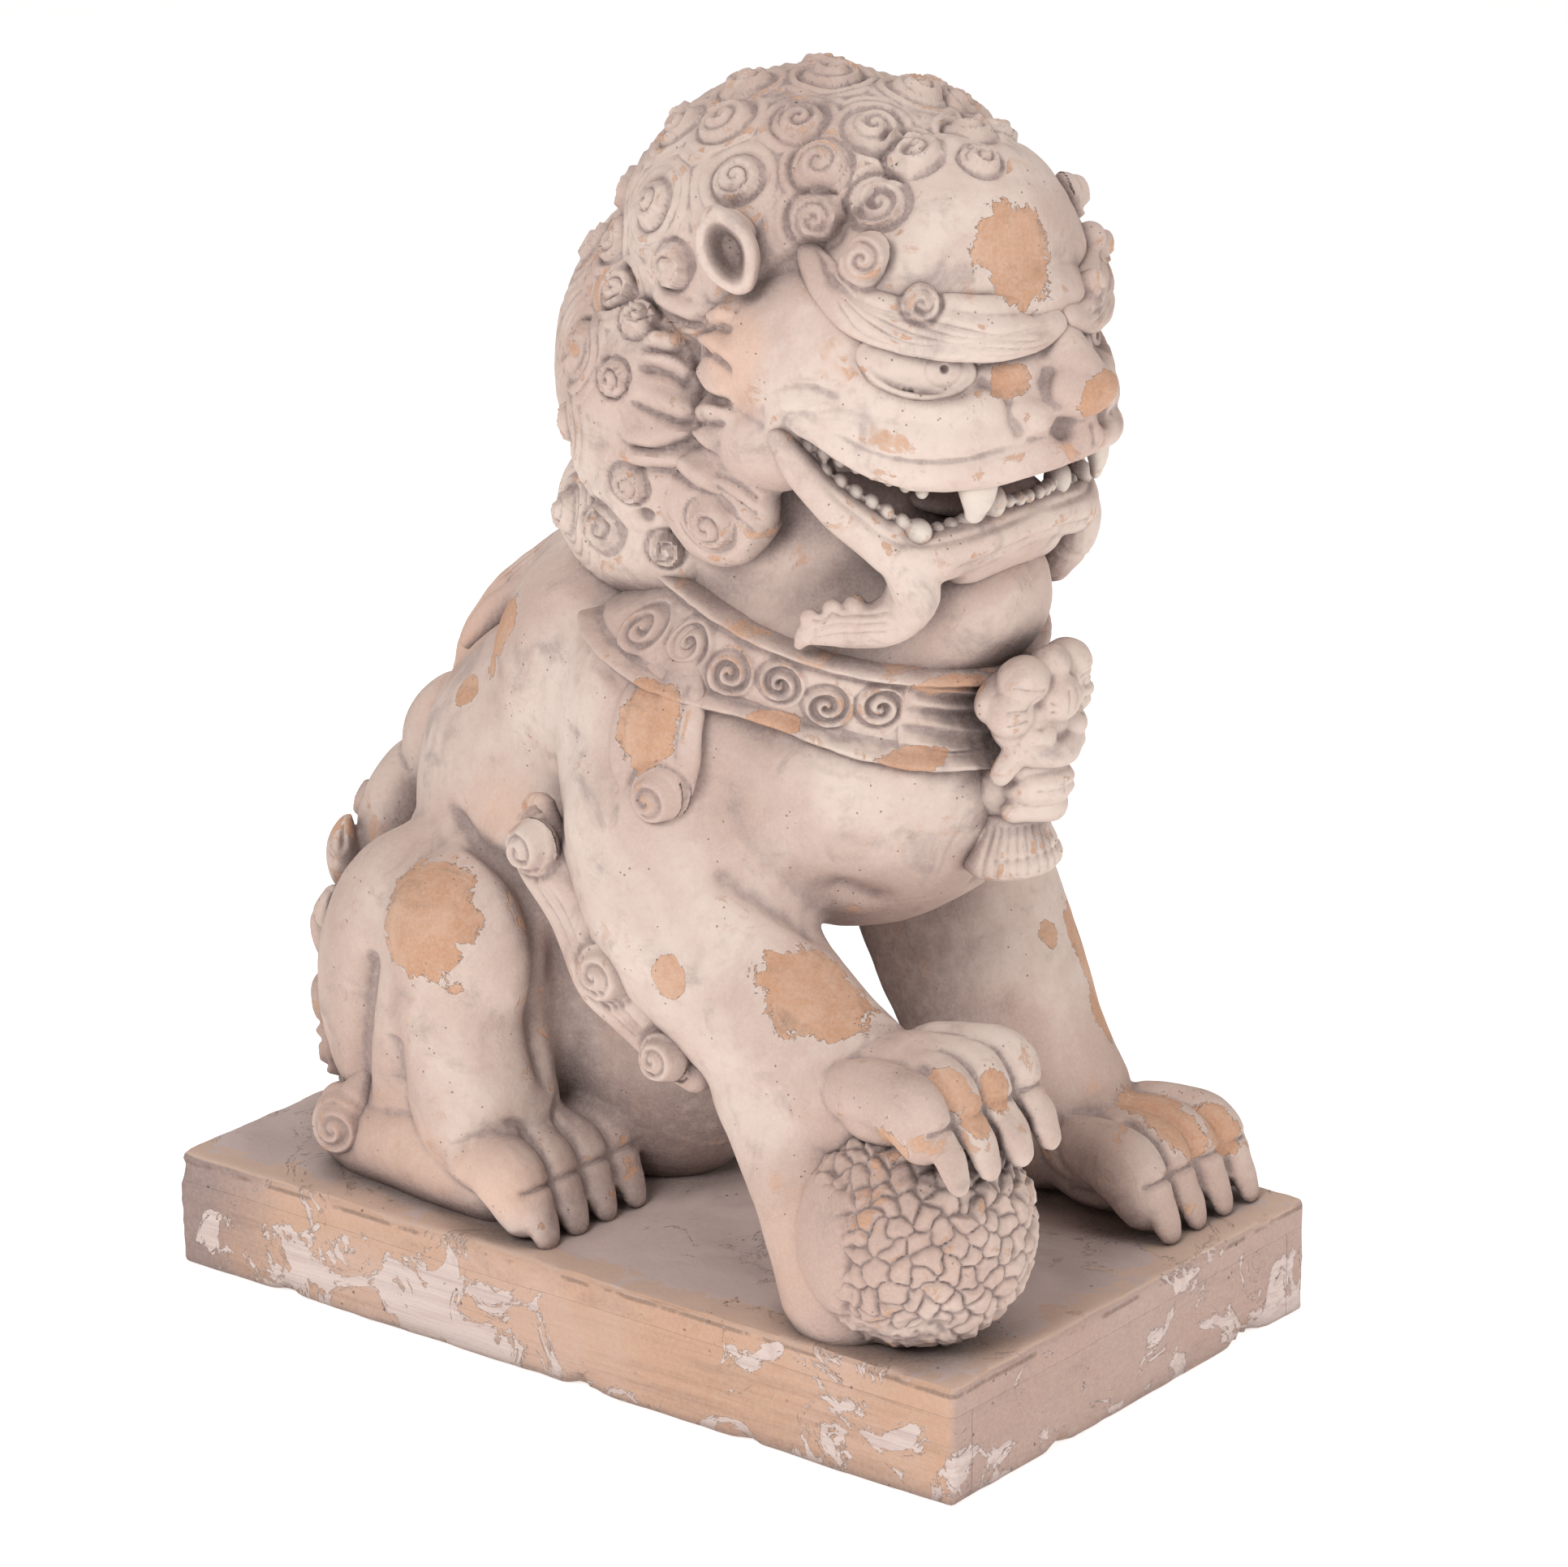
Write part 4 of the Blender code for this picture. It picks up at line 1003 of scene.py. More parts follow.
# ---------------------------------------------------------------- head and mane
CURLS = [  # listed curls: place on the mane, radius, hand
    (-0.067, -0.099, 0.603, 0.0125, 1), (-0.036, -0.110, 0.616, 0.0120, -1),
    (-0.030, -0.128, 0.600, 0.0125, 1), (-0.059, -0.124, 0.588, 0.0130, -1),
    (-0.074, -0.104, 0.575, 0.0120, 1), (-0.050, -0.076, 0.619, 0.0115, 1),
    (-0.084, -0.063, 0.594, 0.0110, -1), (-0.027, -0.028, 0.620, 0.0120, 1),
    (-0.050, -0.006, 0.603, 0.0115, -1), (-0.052, 0.033, 0.569, 0.0120, 1),
    (-0.082, -0.016, 0.571, 0.0105, 1), (-0.004, -0.062, 0.626, 0.0135, -1),
    (0.010, -0.100, 0.618, 0.0120, 1), (0.004, -0.134, 0.602, 0.0110, -1), (-0.012, -0.150, 0.592, 0.0095, 1),
]


def make_head(slip, hair_mat):
    """Head and mane, modelled as one and cut along the hairline."""
    parts = [
        lump(0, -0.065, 0.540, 0.080, 0.084, 0.066), lump(0, -0.060, 0.480, 0.082, 0.085, 0.050),
        lump(0, -0.134, 0.562, 0.057, 0.043, 0.043), lump(0, -0.131, 0.557, 0.066, 0.047, 0.042),
        lump(0, -0.128, 0.552, 0.074, 0.050, 0.040), lump(0, -0.126, 0.546, 0.081, 0.054, 0.036),
        lump(0, -0.146, 0.502, 0.056, 0.050, 0.032),
        lump(0, -0.170, 0.490, 0.041, 0.034, 0.021), lump(0, -0.166, 0.515, 0.022, 0.028, 0.022),
        lump(0, -0.166, 0.534, 0.040, 0.024, 0.018),
    ]
    parts += both(lump, 0.072, -0.098, 0.508, 0.036, 0.050, 0.044)
    parts += both(lump, 0.080, -0.084, 0.474, 0.025, 0.036, 0.028)
    # upper lip, and one smooth slope from the cheek to the nose wing
    parts += both(roll, [(0.097, -0.116, 0.488, 0.0085), (0.085, -0.136, 0.476, 0.0105),
                         (0.070, -0.156, 0.467, 0.0110), (0.050, -0.179, 0.466, 0.0105),
                         (0.028, -0.192, 0.469, 0.0100), (0.0, -0.199, 0.474, 0.0115)])
    parts += both(roll, [(0.086, -0.116, 0.500, 0.018), (0.070, -0.140, 0.494, 0.020),
                         (0.050, -0.164, 0.488, 0.019), (0.032, -0.180, 0.488, 0.014)], sides=24)
    parts += both(roll, [(0.089, -0.122, 0.491, 0.0140), (0.074, -0.145, 0.483, 0.0160),
                         (0.054, -0.168, 0.479, 0.0155), (0.032, -0.184, 0.480, 0.0115)], sides=20)
    # nose: bridge, tip and wings
    parts += [roll([(0, -0.172, 0.522, 0.015), (0, -0.185, 0.512, 0.0155), (0, -0.197, 0.500, 0.0160)]),
              lump(0, -0.200, 0.496, 0.023, 0.013, 0.0145)]
    parts += both(lump, 0.025, -0.192, 0.486, 0.0105, 0.0105, 0.0095)
    # mane over the head and down the neck
    parts += [
        lump(0, -0.050, 0.540, 0.092, 0.091, 0.083), lump(0, -0.082, 0.557, 0.076, 0.062, 0.064),
        lump(0, -0.014, 0.480, 0.097, 0.090, 0.098), lump(0, -0.004, 0.412, 0.095, 0.076, 0.050),
    ]
    parts += both(lump, 0.086, -0.060, 0.440, 0.017, 0.032, 0.030)
    parts += both(lump, 0.087, -0.014, 0.470, 0.021, 0.040, 0.054)
    head = fuse(parts, 0.00160, 6)
    s = Skin(head)
    p = s.p

    # ---- mane: an even set of curls behind the hairline
    curls = list(CURLS)
    tried = 80
    middle = np.array((0.0, -0.038, 0.500))
    for k in range(tried):
        z = 1 - 1.86 * (k + 0.5) / tried
        a = GOLDEN_TURN * k + 0.22 * math.sin(7.3 * k)
        flat = math.sqrt(max(0, 1 - z * z))
        d = np.array((flat * math.cos(a), flat * math.sin(a), z))
        hit = s.tree.ray_cast(Vector(middle + d * 0.4), Vector(-d))[0]
        if hit is None:
            continue
        h = np.array(hit)
        if h[1] < -0.030 - 0.55 * (h[2] - 0.500) and h[2] < 0.610:
            continue                                       # the face
        if h[1] < -0.030 and h[2] < 0.560:
            continue
        if h[2] < 0.385:
            continue
        if h[1] < -0.020 and abs(h[0]) > 0.06 and h[2] < 0.590:
            continue                                       # the ear and the side locks
        if min(np.linalg.norm(h - np.array(q[:3])) for q in curls) < 0.0245:
            continue
        curls.append((*h, 0.0112 + 0.0018 * math.sin(5 * k), 1 if k % 2 else -1))
    for x, y, z, r, hand in CURLS:                          # the same on the unseen side
        if x < -0.02:
            h = s.snap((-x, y, z))
            if min(np.linalg.norm(h - np.array(q[:3])) for q in curls) > 0.021:
                curls.append((*h, r, -hand))
    places = np.array([s.snap(q) for q in curls])
    sizes = np.array([q[3] for q in curls])

    # hair lies behind this line; it runs down the forehead, in front of the ear, and behind the cheek
    brow_line = np.interp(p[:, 2], [0.40, 0.430, 0.445, 0.520, 0.545, 0.560, 0.580, 0.600, 0.64],
                          [-0.070, -0.090, -0.070, -0.072, -0.082, -0.096, -0.122, -0.142, -0.152])
    brow_line -= 0.07 * np.maximum(0.060 - np.abs(p[:, 0]), 0) * ease(p[:, 2], 0.545, 0.60)
    hairy = ease(p[:, 1] - brow_line, -0.002, 0.006)
    best = np.full(len(p), 1e9)
    second = np.full(len(p), 1e9)
    for c, r in zip(places, sizes):
        d = np.linalg.norm(p - c, axis=1) - r
        closer = d < best
        second = np.where(closer, best, np.minimum(second, d))
        best = np.where(closer, d, best)
    # two or three strands run round every curl and flow into those of the next
    rim = np.clip(best, 0, None) + 0.0010 * uneven(p, 0.014, 41)
    waves = np.cos(2 * math.pi * rim / 0.0056) * np.exp(-(rim / 0.017) ** 2)
    border = np.exp(-((second - best) / 0.0036) ** 2) * (best > 0.0005)
    worn = 0.55 + 0.45 * uneven(p, 0.030, 42)
    p += s.n * (hairy * (0.0034 + 0.00125 * waves * worn - 0.0009 * border))[:, None]
    s.fresh()
    for (x, y, z, r, hand), c in zip(curls, places):
        s.curl(c, r, 1.9, hand, 0.0034 + 0.0008 * math.sin(900 * x), 0.0014)
    s.fresh()
    # wavy side locks between the ear and the jaw
    for z0, y0, y1 in ((0.533, -0.020, -0.080), (0.518, -0.022, -0.084), (0.5035, -0.022, -0.080),
                       (0.489, -0.020, -0.078), (0.474, -0.018, -0.072), (0.459, -0.016, -0.068)):
        path = [(0.100, y0 + (y1 - y0) * t, z0 + 0.0035 * math.sin(5.2 * t + 300 * z0) - 0.004 * t)
                for t in (0, 0.25, 0.5, 0.75, 1)]
        s.stroke(path, 0.0085, -0.0034, mirror=True)
        s.stroke([(x, y, z - 0.0072) for x, y, z in path], 0.0046, 0.0032, mirror=True)
        s.stroke([(x, y, z + 0.0020) for x, y, z in path], 0.0026, 0.0014, mirror=True)
        s.stroke([(x, y, z - 0.0026) for x, y, z in path], 0.0026, 0.0014, mirror=True)
    for c, r, hand, high in (((0.098, -0.036, 0.548), 0.0105, 1, 0.0070),
                             ((0.098, -0.020, 0.522), 0.0090, -1, 0.0050),
                             ((0.100, -0.014, 0.492), 0.0085, 1, 0.0044),
                             ((0.105, -0.066, 0.431), 0.0120, 1, 0.0030),
                             ((0.096, 0.004, 0.416), 0.0120, -1, 0.0030),
                             ((0.098, -0.034, 0.410), 0.0085, 1, 0.0034),
                             ((0.097, -0.020, 0.446), 0.0095, 1, 0.0040)):
        s.curl(c, r, 1.9, hand, high, 0.0015, mirror=True)
    for grow in (0.0155, 0.0195):                           # strands round the cheek curl, trailing behind
        s.stroke([(0.105, -0.066 + grow * math.cos(a), 0.431 + grow * math.sin(a))
                  for a in (2.6, 3.4, 4.2, 5.0, 5.8, 6.5)], 0.0032, 0.0016, mirror=True)
    for low in (0.0, 0.008, 0.016):
        s.stroke([(0.096, -0.092, 0.444 - low), (0.100, -0.080, 0.452 - low),
                  (0.102, -0.066, 0.456 - low * 0.6)],
                 0.0032, 0.0015, mirror=True)
    s.push((0.100, -0.026, 0.428), (0.004, 0.0045, 0.006), 0.0070, mirror=True)
    s.fresh()

    # ---- face
    for side in (RIGHT, LEFT):                              # eye sockets
        c = np.array((side * 0.0695, -0.159, 0.5145))
        out = np.array((side * 0.66, -0.745, 0.10))
        out /= np.linalg.norm(out)
        u = np.array((side * 0.73, 0.64, 0.25))
        v = np.cross(out, u)
        d = s.p - c
        a, b, h = d @ u, d @ v, d @ out
        e = np.sqrt((a / 0.031) ** 2 + (b / 0.0155) ** 2)
        near = (np.abs(h) < 0.028) & (e < 1.6) & (s.n @ out > 0.15)
        s.p[near] -= out * ((0.0045 + h[near]).clip(0, 0.010) * (1 - ease(e[near], 0.80, 1.12)))[:, None]
    s.fresh()
    s.push((0.0165, -0.205, 0.4800), (0.0062, 0.0062, 0.0048), 0.0060, mirror=True)        # nostrils
    s.stroke([(0.036, -0.184, 0.498), (0.039, -0.190, 0.488),
              (0.036, -0.194, 0.478)], 0.006, 0.0030, mirror=True)
    s.stroke([(0.012, -0.190, 0.508), (0.019, -0.196, 0.499),
              (0.017, -0.205, 0.490)], 0.0055, 0.0016, mirror=True)
    s.stroke([(0.0, -0.208, 0.482), (0.0, -0.207, 0.470)], 0.005, 0.0022)
    # the lip's edge, the slit of the mouth and the ring at its corner
    s.stroke([(0.096, -0.126, 0.490), (0.084, -0.146, 0.477), (0.066, -0.168, 0.472), (0.042, -0.190, 0.474)],
             0.0040, 0.0006, mirror=True)
    s.stroke([(0.096, -0.112, 0.482), (0.090, -0.124, 0.474), (0.080, -0.138, 0.464), (0.068, -0.154, 0.458)],
             0.0100, 0.0100, mirror=True, snap=False)
    s.stroke([(0.094, -0.134, 0.495), (0.103, -0.122, 0.498), (0.108, -0.110, 0.493), (0.106, -0.102, 0.482),
              (0.101, -0.102, 0.471)], 0.0070, -0.0026, mirror=True)
    s.stroke([(0.098, -0.140, 0.500), (0.108, -0.124, 0.506), (0.114, -0.106, 0.500), (0.112, -0.095, 0.484)],
             0.0060, 0.0010, mirror=True)
    # crease from the eye down beside the nose, and the cheek bone
    s.stroke([(0.048, -0.176, 0.508), (0.038, -0.184, 0.500),
              (0.034, -0.189, 0.492)], 0.006, 0.0014, mirror=True)
    s.push((0.104, -0.100, 0.498), (0.010, 0.014, 0.012), -0.0025, mirror=True)
    s.push((0.0, -0.168, 0.560), (0.028, 0.030, 0.026), -0.0025)
    s.rough(0.040, 0.0009, 4)
    s.rough(0.012, 0.0004, 5)
    s.rough(0.005, 0.00015, 6)
    s.write()
    record_wear_and_shade_maps(head)

    slope = Vector((0, 0.72, 0.69)).normalized()            # across the hairline, towards the mane
    seam = Vector((0, -0.085, 0.555))
    face, hair = (seam, slope), (seam, -slope)
    crown, nape = 0.520, -0.012
    for name, node, planes in (("head_face", "head_section", [face]),
                               ("mane_crown", "mane_crown", [hair, above(Z, crown)]),
                               ("mane_nape", "mane_nape", [hair, below(Z, crown), above(Y, nape)]),
                               ("mane_side_right", "mane_side_right",
                                [hair, below(Z, crown), below(Y, nape), below(X, 0.0)]),
                               ("mane_side_left", "mane_side_left",
                                [hair, below(Z, crown), below(Y, nape), above(X, 0.0)])):
        slot, mat = ("pink_slip", slip) if name == "head_face" else ("hair_slip", hair_mat)
        hand_over(cut_out(head, name, planes), name + "_clay", [node], mat, with_wear_and_shade_maps=False)
    bpy.data.objects.remove(head, do_unlink=True)


def make_ears(slip):
    """Leaf-shaped cups with a thin rim, leaning forward out of the mane."""
    for side, tag in SIDES:
        c = np.array((side * 0.1060, -0.0790, 0.5635))
        out = np.array((side * 0.86, -0.42, 0.10))
        out /= np.linalg.norm(out)
        up = np.array((side * 0.06, 0.42, 0.90))
        up -= out * (up @ out)
        up /= np.linalg.norm(up)
        across = np.cross(up, out)
        leaf = lump(0, 0, 0, 0.0130, 0.0205, 0.0110)
        leaf.data.transform(Matrix.Translation(c) @ Matrix((across, up, out)).transposed().to_4x4())
        root = roll([(side * 0.084, -0.060, 0.560, 0.012), (side * 0.098, -0.072, 0.566, 0.013)])
        s = Skin(fuse([leaf, root], 0.0010, 4))
        d = s.p - c
        a, b = d @ across, d @ up
        pinch = 1 - 0.45 * np.clip(np.abs(b) / 0.0205, 0, 1) ** 2 * np.sign(np.maximum(b, 0) + 1e-9)
        e = np.sqrt((a / (0.0102 * pinch)) ** 2 + ((b + 0.001) / 0.0175) ** 2)
        front = (s.n @ out > -0.1) & (e < 1.4) & (d @ out > 0)
        s.p[front] -= out * (0.0175 * (1 - ease(e[front], 0.30, 1.00)))[:, None]
        s.fresh()
        rim = (e > 0.85) & (e < 1.7) & (s.n @ out > -0.5)
        s.p[rim] += s.n[rim] * (0.0014 * np.exp(-((e[rim] - 1.15) / 0.16) ** 2))[:, None]
        s.rough(0.012, 0.0005, 14)
        done(s, "ear_" + tag, slip)


def make_brows(slip):
    """A band of combed hair over each eye, curling up at two places."""
    path = [(0.069, -0.094, 0.563, 0.0040), (0.078, -0.110, 0.553, 0.0090), (0.083, -0.132, 0.541, 0.0125),
            (0.076, -0.152, 0.534, 0.0130), (0.061, -0.168, 0.529, 0.0125), (0.042, -0.180, 0.525, 0.0112),
            (0.022, -0.188, 0.524, 0.0092), (0.006, -0.190, 0.527, 0.0070)]
    for side, tag in SIDES:
        own = [(side * x, y, z, r) for x, y, z, r in path]
        parts = [roll(own, flat=0.60, face=(side * 0.6, -0.55, 0.35), sides=20),
                 roll([(side * 0.080, -0.128, 0.548, 0.009), (side * 0.080, -0.135, 0.558, 0.0105),
                       (side * 0.077, -0.138, 0.566, 0.0095)], flat=0.7, face=(side * 0.7, -0.5, 0.3)),
                 roll([(side * 0.070, -0.156, 0.538, 0.008), (side * 0.068, -0.160, 0.545, 0.0085)], flat=0.7,
                      face=(side * 0.7, -0.6, 0.3)),
                 roll([(side * 0.058, -0.163, 0.541, 0.0060), (side * 0.044, -0.172, 0.538, 0.0065),
                       (side * 0.024, -0.180, 0.536, 0.0055)])]
        if side == LEFT:
            parts += [lump(0.060, -0.163, 0.550, 0.0080), lump(0.030, -0.186, 0.538, 0.0070)]
        s = Skin(fuse(parts, 0.0010, 4))
        for up, deep in ((-0.0085, 0.0010), (-0.0048, 0.0014), (-0.0010, 0.0015), (0.0030, 0.0015),
                         (0.0070, 0.0014)):
            s.stroke([(x * 1.05, y - 0.010, z + up + 0.0022 * math.sin(4.2 * k + 300 * up))
                      for k, (x, y, z, r) in enumerate(own)], 0.0027, deep)
        s.fresh()
        s.curl((side * 0.089, -0.142, 0.565), 0.0115, 1.9, -side, 0.0028, 0.0015)
        s.curl((side * 0.076, -0.166, 0.544), 0.0085, 1.7, -side, 0.0028, 0.0013)
        s.rough(0.010, 0.0005, 15)
        done(s, "brow_" + tag, slip)


def make_eyes(slip):
    """An almond ball in two raised lids, with a drilled pupil."""
    for side, tag in SIDES:
        c = np.array((side * 0.0690, -0.1590, 0.5145))
        out = np.array((side * 0.66, -0.745, 0.10))
        out /= np.linalg.norm(out)
        u = np.array((side * 0.73, 0.64, 0.25))
        u -= out * (u @ out)
        u /= np.linalg.norm(u)
        v = np.cross(out, u)
        v *= np.sign(v[2])
        ball = lump(0, 0, 0, 0.027, 0.0140, 0.0048)
        ball.data.transform(Matrix.Translation(c - out * 0.0040) @ Matrix((u, v, out)).transposed().to_4x4())
        rings = []
        for scale_u, scale_v, thick, lift in ((1.0, 1.0, 0.0018, 0.0012), (1.16, 1.20, 0.0018, 0.0000)):
            loop = []
            for k in range(25):
                a = 2 * math.pi * k / 24
                uu, vv = 0.0275 * scale_u * math.cos(a), 0.0140 * scale_v * math.sin(a)
                vv *= 1 - 0.18 * abs(math.cos(a)) ** 3
                bow = -0.0060 * (uu / 0.0275) ** 2 * scale_u
                q = c + u * uu + v * vv + out * (bow + lift)
                loop.append((*q, thick))
            rings.append(roll(loop, sides=10, step=0.0015, face=tuple(out)))
        s = Skin(fuse([ball] + rings, 0.0009, 3))
        pupil = c - u * 0.0125 + v * 0.001 + out * 0.004
        d = s.p - pupil
        rr = np.sqrt((d @ u) ** 2 + (d @ v) ** 2)
        face = (s.n @ out > 0.2) & (np.abs(d @ out) < 0.012)
        s.p[face] -= out * (0.0030 * (1 - ease(rr[face], 0.0008, 0.0024))
                            + 0.0005 * np.exp(-((rr[face] - 0.0085) / 0.0008) ** 2))[:, None]
        s.rough(0.008, 0.0003, 16)
        done(s, "eye_" + tag, slip)


def make_nose(slip):
    """The tip of the nose, a broad worn button."""
    parts = [lump(0, -0.203, 0.496, 0.021, 0.0120, 0.0125), lump(0, -0.197, 0.504, 0.0150, 0.0110, 0.0100)]
    s = Skin(fuse(parts, 0.0011, 5))
    s.stroke([(0.0, -0.216, 0.500), (0.0, -0.216, 0.486)], 0.006, 0.0012)
    s.rough(0.010, 0.0005, 17)
    done(s, "nose", slip)


def make_jaw(slip, dark):
    """One band from the mouth's corner down, round the chin, and back as a strap into the beard."""
    parts = both(roll, [(0.100, -0.104, 0.478, 0.0060), (0.094, -0.112, 0.463, 0.0085),
                        (0.086, -0.124, 0.447, 0.0100), (0.077, -0.139, 0.433, 0.0105),
                        (0.067, -0.152, 0.422, 0.0118), (0.050, -0.160, 0.422, 0.0130),
                        (0.025, -0.166, 0.427, 0.0130), (0.0, -0.168, 0.429, 0.0130)], step=0.004)
    parts.append(lump(0, -0.130, 0.416, 0.052, 0.046, 0.012))
    parts += both(roll, [(0.070, -0.146, 0.430, 0.0100), (0.066, -0.154, 0.414, 0.0120),
                         (0.061, -0.152, 0.402, 0.0125), (0.060, -0.146, 0.394, 0.0120)])
    parts += both(roll, [(0.0, -0.162, 0.418, 0.013), (0.030, -0.157, 0.414, 0.012)])
    s = Skin(fuse(parts, 0.0012, 5))
    s.stroke([(0.060, -0.176, 0.414), (0.030, -0.180, 0.418),
              (0.0, -0.184, 0.419)], 0.005, 0.0018, mirror=True)
    s.stroke([(0.096, -0.120, 0.462), (0.086, -0.136, 0.444), (0.074, -0.154, 0.430), (0.050, -0.172, 0.432),
              (0.024, -0.184, 0.437), (0.0, -0.187, 0.439)], 0.004, 0.0011, mirror=True)
    s.rough(0.014, 0.0006, 18)
    done(s, "lower_jaw", slip)

    parts = [lump(0, -0.140, 0.438, 0.034, 0.034, 0.010), lump(0, -0.110, 0.445, 0.028, 0.030, 0.012)]
    s = Skin(fuse(parts, 0.0013, 5))
    s.stroke([(0.0, -0.182, 0.446), (0.0, -0.150, 0.452), (0.0, -0.112, 0.456)], 0.006, 0.0020)
    s.rough(0.010, 0.0005, 19)
    done(s, "tongue", dark)


def make_teeth_and_beard(slip, tooth):
    """Fangs, the rows of teeth with their gums, and a curling lock of beard at each side of the chin."""
    for side, tag in SIDES:
        fang = fuse([roll([(side * 0.046, -0.174, 0.470, 0.0125), (side * 0.047, -0.177, 0.460, 0.0112),
                                (side * 0.048, -0.178, 0.450, 0.0085),
                                (side * 0.0485, -0.177, 0.444, 0.0055)],
                               flat=0.60, face=(side * 0.5, -0.85, 0))], 0.0009, 3)
        hand_over(fang, "fang_upper_" + tag + "_clay", ["fang_upper_" + tag], tooth)
        low = fuse([lump(side * 0.026, -0.1705, 0.4430, 0.0070, 0.0065, 0.0085)]
                   + [lump(side * (0.004 + 0.0062 * n), -0.1745 + 0.0006 * n * n, 0.4415, 0.0034, 0.0040, 0.0036)
                      for n in range(3)]
                   + [lump(side * (0.034 + 0.0062 * n), -0.1680 + 0.0030 * n, 0.4375 - 0.0012 * n,
                           0.0034, 0.0038, 0.0036) for n in range(5)], 0.0008, 2)
        hand_over(low, "fang_lower_" + tag + "_clay", ["fang_lower_" + tag], tooth)
        row = []
        for n in range(8):
            t = n / 7
            x, y, z = 0.0905 - 0.0270 * t, -0.1130 - 0.0450 * t, 0.4745 - 0.0190 * t
            row.append(lump(side * x, y, z, 0.0034, 0.0036, 0.0052))
        for n in range(6):
            t = n / 5
            x, y, z = 0.0870 - 0.0190 * t, -0.1200 - 0.0300 * t, 0.4620 - 0.0230 * t
            row.append(lump(side * x, y, z, 0.0036, 0.0038, 0.0044))
        row.append(lump(side * 0.0640, -0.1560, 0.4345, 0.0068, 0.0070, 0.0066))
        gum_up = roll([(side * 0.0900, -0.1080, 0.4800, 0.005), (side * 0.062, -0.156, 0.464, 0.005)])
        gum_low = roll([(side * 0.0840, -0.1180, 0.4560, 0.005), (side * 0.064, -0.1480, 0.4340, 0.005)])
        back = roll([(side * 0.0880, -0.106, 0.482, 0.005), (side * 0.0840, -0.112, 0.468, 0.006),
                     (side * 0.0800, -0.120, 0.452, 0.005)])
        teeth = fuse(row + [gum_up, gum_low, back], 0.0008, 2)
        hand_over(teeth, "molars_" + tag + "_clay", ["molars_upper_" + tag], tooth)

        beard = [roll([(side * 0.062, -0.152, 0.406, 0.0120), (side * 0.062, -0.147, 0.395, 0.0125),
                       (side * 0.069, -0.139, 0.389, 0.0120), (side * 0.079, -0.131, 0.388, 0.0105),
                       (side * 0.088, -0.123, 0.388, 0.0085), (side * 0.094, -0.115, 0.385, 0.0055),
                       (side * 0.093, -0.110, 0.379, 0.0028)], flat=0.75, face=(side * 0.7, -0.5, -0.2)),
                 lump(side * 0.078, -0.131, 0.398, 0.0056), lump(side * 0.086, -0.124, 0.397, 0.0050),
                 lump(side * 0.093, -0.116, 0.393, 0.0046)]
        s = Skin(fuse(beard, 0.0010, 4))
        for off in (-0.0050, 0.0, 0.0050):
            s.stroke([(side * 0.072, -0.150, 0.392 + off), (side * 0.082, -0.140, 0.392 + off),
                      (side * 0.092, -0.128, 0.392 + off),
                      (side * 0.100, -0.118, 0.387 + off)], 0.0022, 0.0009)
        s.rough(0.010, 0.0004, 20)
        done(s, "beard_lock_" + tag, slip)


